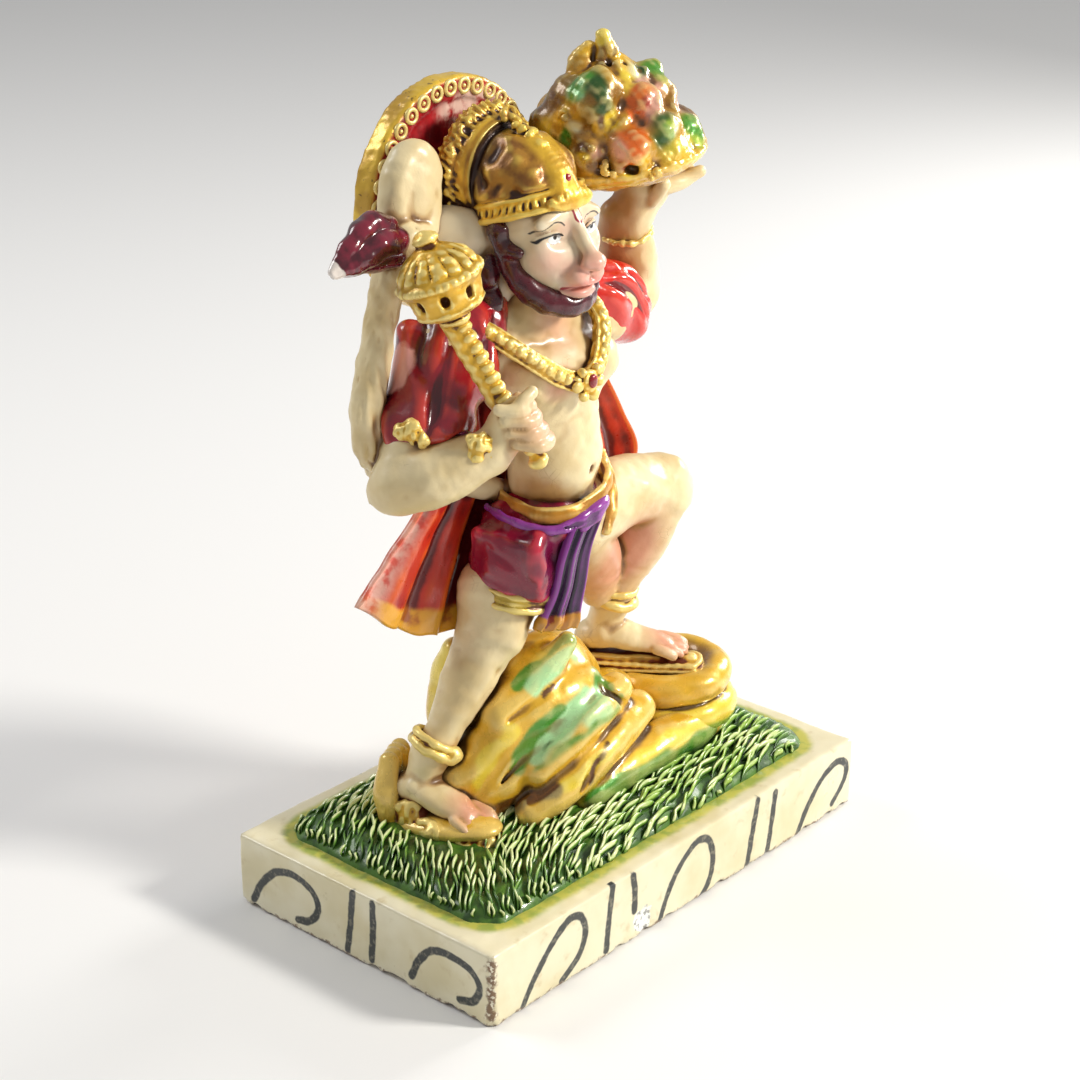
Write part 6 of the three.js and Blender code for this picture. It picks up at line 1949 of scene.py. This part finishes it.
def grass_paint():
    """Dark green strokes with pale ridges, yellower towards the left"""
    paint = Paint("grass_paint")
    tip = paint.value("tip")
    pale = (paint.grain(9, 2, 3) + paint.axes()[0] * 0.004).rise(0.42, 0.66)
    colour = paint.layers(
        paint.mottled((0.045, 0.135, 0.014), (0.018, 0.06, 0.008), (5,), 0.4, 0.66),
        ((0.17, 0.34, 0.045), tip.rise(0.35, 0.9)),
        (
            paint.mix((0.68, 0.76, 0.38), (0.34, 0.52, 0.09), pale),
            (tip + (paint.grain(1.6) - 0.5) * 0.5).rise(0.84, 1.06)
        ),
    )
    return paint.finish(colour, 0.25 + paint.grain(1.2) * 0.2, paint.grain(0.9, 3, 3), 0.05, coat=(0.4, 0.2))


# ---- plinth


def plinth():
    """The oblong slab, its painted hoops and bars, its knocked corners and edges"""
    low, high = np.array((-HALF_LENGTH, -HALF_WIDTH, -TOP)), np.array((HALF_LENGTH, HALF_WIDTH, 0))
    clay = Clay(low - 1, high + 1, 0.56)
    clay.add(block((low + high) / 2, (high - low) / 2, edge=0.7), 0.2)
    draw = np.random.default_rng(5)
    for _ in range(46):
        side = draw.random() < 0.6
        x = draw.uniform(low[0], high[0]) if side else low[0]
        y = low[1] if side else draw.uniform(low[1], high[1])
        size = draw.uniform(0.3, 0.95)
        clay.dent(0.4, (x, y, low[2]), (size * 1.8, size * 1.8, size))
    for z in np.linspace(-13.6, -1, 9):
        clay.dent(0.4, (low[0], low[1], z), (0.7 + 0.35 * math.sin(z * 2.2), 0.8, 1))
    clay.dent(0.3, (-12.4, low[1] - 0.1, -11.2), (3, 0.45, 2.6))
    piece = clay.cast("plinth_slab", rippled((16, 0.06, 181), (4, 0.03, 182)), shades=False)
    x, y, z = places_of(piece).T
    rise = z + TOP
    hoops = [
        [(-45.8, 0), (-42.2, 5), (-38, 9.6), (-33.6, 12.6), (-30.2, 12.2), (-28.6, 8.6), (-30.2, 4.4), (-34.8, 1)],
        [(-21, 14), (-22, 8), (-22.8, 1.6)], [(-15.4, 13.6), (-14.8, 10), (-14.9, 6.2)],
        [(-7.6, 0.4), (-5.2, 5.4), (-1.6, 10), (3.2, 12.8), (7, 11.2), (8.2, 6.4), (7, 2.4), (4.8, 0)],
        [(21.8, 13.6), (20.2, 7), (18.8, 0.6)], [(27.4, 13), (26.4, 7), (25.2, 0.4)],
        [(35, 0.2), (37.8, 4.6), (42.4, 9.4), (47.4, 11.4), (50.8, 9.6), (50.2, 6), (46.6, 2.6)],
    ]
    left = [
        [(28.2, 1.8), (25.4, 6.6), (21.6, 10.2), (17, 11.4), (12.4, 10), (10.8, 6.6), (13, 3.4), (16.4, 2.2)],
        [(1.8, 13.6), (2.4, 8), (3.4, 1.2)], [(-3.2, 13.4), (-3.2, 8), (-2.7, 1.8)],
        [(-12.6, 2.8), (-14.4, 6.6), (-17.6, 10), (-22, 10.9), (-26.8, 10), (-28.9, 7.2), (-27.4, 4), (-24, 2.8)],
    ]
    painted = []
    for paths, along in ((hoops, x), (left, y), (hoops, -x), (left, -y)):
        face = columns(along, rise)
        painted.append(np.min([from_path(face, path) for path in paths], 0))
    near = 1.2
    faces = [y < low[1] + near, x < low[0] + near, y > high[1] - near, x > high[0] - near]
    ink = np.select(faces, painted, 9)
    give(piece, "ink", np.clip(ink, 0, 6))
    edges = np.minimum(np.minimum(rise, 9), np.hypot(x - low[0], y - low[1]) * 0.6)
    give(piece, "edge", np.clip(edges, 0, 6))
    give(piece, "band", np.where(z > -0.7, turf_inset(x, y), 9))
    chip = np.linalg.norm(columns((x + 12.4) / 3.1, (rise - 3.3) / 2.8, (y - low[1]) / 1.5), axis=1)
    give(piece, "chip", np.clip(chip, 0, 4))
    settle(piece, "cream_lacquer", plinth_paint(), rounds=6, keep="plinth")


def plinth_paint():
    """Cream lacquer, an olive band round the turf, black strokes, rubbed edges and a chip"""
    paint = Paint("plinth_paint")
    band = paint.value("band") + (paint.grain(4) - 0.5) * 1.4
    ink = 1 - (paint.value("ink") + (paint.grain(2.2, 3, 5) - 0.5) * 0.6).rise(0.6, 0.95)
    dry = 0.82 + paint.grain(1, 3, 1).rise(0.3, 0.5) * 0.18
    edge = paint.value("edge") + (paint.grain(1.6, 5, 8) - 0.5) * 2.4
    chip = 1 - (paint.value("chip") + (paint.grain(2.8, 4, 3) - 0.5) * 1.5).rise(0.9, 1)
    colour = paint.layers(
        paint.mottled((0.8, 0.74, 0.53), (0.7, 0.62, 0.38), (14, 4), 0.4, 0.68),
        ((0.52, 0.4, 0.18), paint.grain(3, 5, 2).rise(0.58, 0.78) * 0.5),
        (
            paint.mottled((0.52, 0.5, 0.05), (0.3, 0.38, 0.03), (3, 3, 7), 0.42, 0.6),
            (1 - band.rise(1.4, 3.2)) * 0.9
        ),
        ((0.018, 0.022, 0.02), ink * dry),
        (
            paint.mottled((0.16, 0.07, 0.02), (0.8, 0.74, 0.58), (0.9, 3, 6), 0.5, 0.6),
            (1 - edge.rise(0.4, 1)) * 0.92
        ),
        (paint.mottled((0.84, 0.84, 0.82), (0.34, 0.34, 0.32), (0.9, 4, 2), 0.52, 0.62), chip),
    )
    rough = (0.22 + paint.grain(5) * 0.18).most(chip * 0.8)
    bump = paint.grain(5, 5, 3) - ink * 0.2 + chip * paint.grain(0.5)
    return paint.finish(colour, rough, bump, 0.12, coat=(0.4, 0.15))


def streaked(places, streaks, base, seed=1):
    """A colour at each place: strokes of paint over a base, each a path, a half width and a colour"""
    moved = places + columns(*[ripple(places, 6, seed + k) for k in range(3)]) * 0.4
    total = np.tile(np.array(COLOURS[base]), (len(places), 1))
    for path, half, name in streaks:
        cover = smooth_step((from_path(moved, path) / half - 0.72) / 0.5)
        total = COLOURS[name] * (1 - cover)[:, None] + total * cover[:, None]
    return total


def smooth_step(value):
    value = held(value)
    return value * value * (3 - 2 * value)


# ---- finishing the scene


def main():
    for make in (body, head, beard, crown, halo, cape, shawl, shorts, belt, sash, mace, tuft, jewellery, mountain):
        make()
    stone = rock()
    footring()
    sandals()
    turf(stone)
    plinth()
    surroundings.blur()
    root = next(iter(frame["bodies"]))
    for piece, slot, keep in pieces:
        give(piece, "nook", surroundings.nook(piece))
        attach(piece, root)
        if keep:
            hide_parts(keep)
    far = 4000
    corners = [(-far, -far, -TOP), (far, -far, -TOP), (far, far, -TOP), (-far, far, -TOP)]
    floor = make_mesh("floor", corners, [(0, 1, 2, 3)])
    paint = Paint("floor")
    floor.data.materials.append(paint.finish((0.86, 0.86, 0.86), 0.6))
    place_camera()
    light_studio()


main()
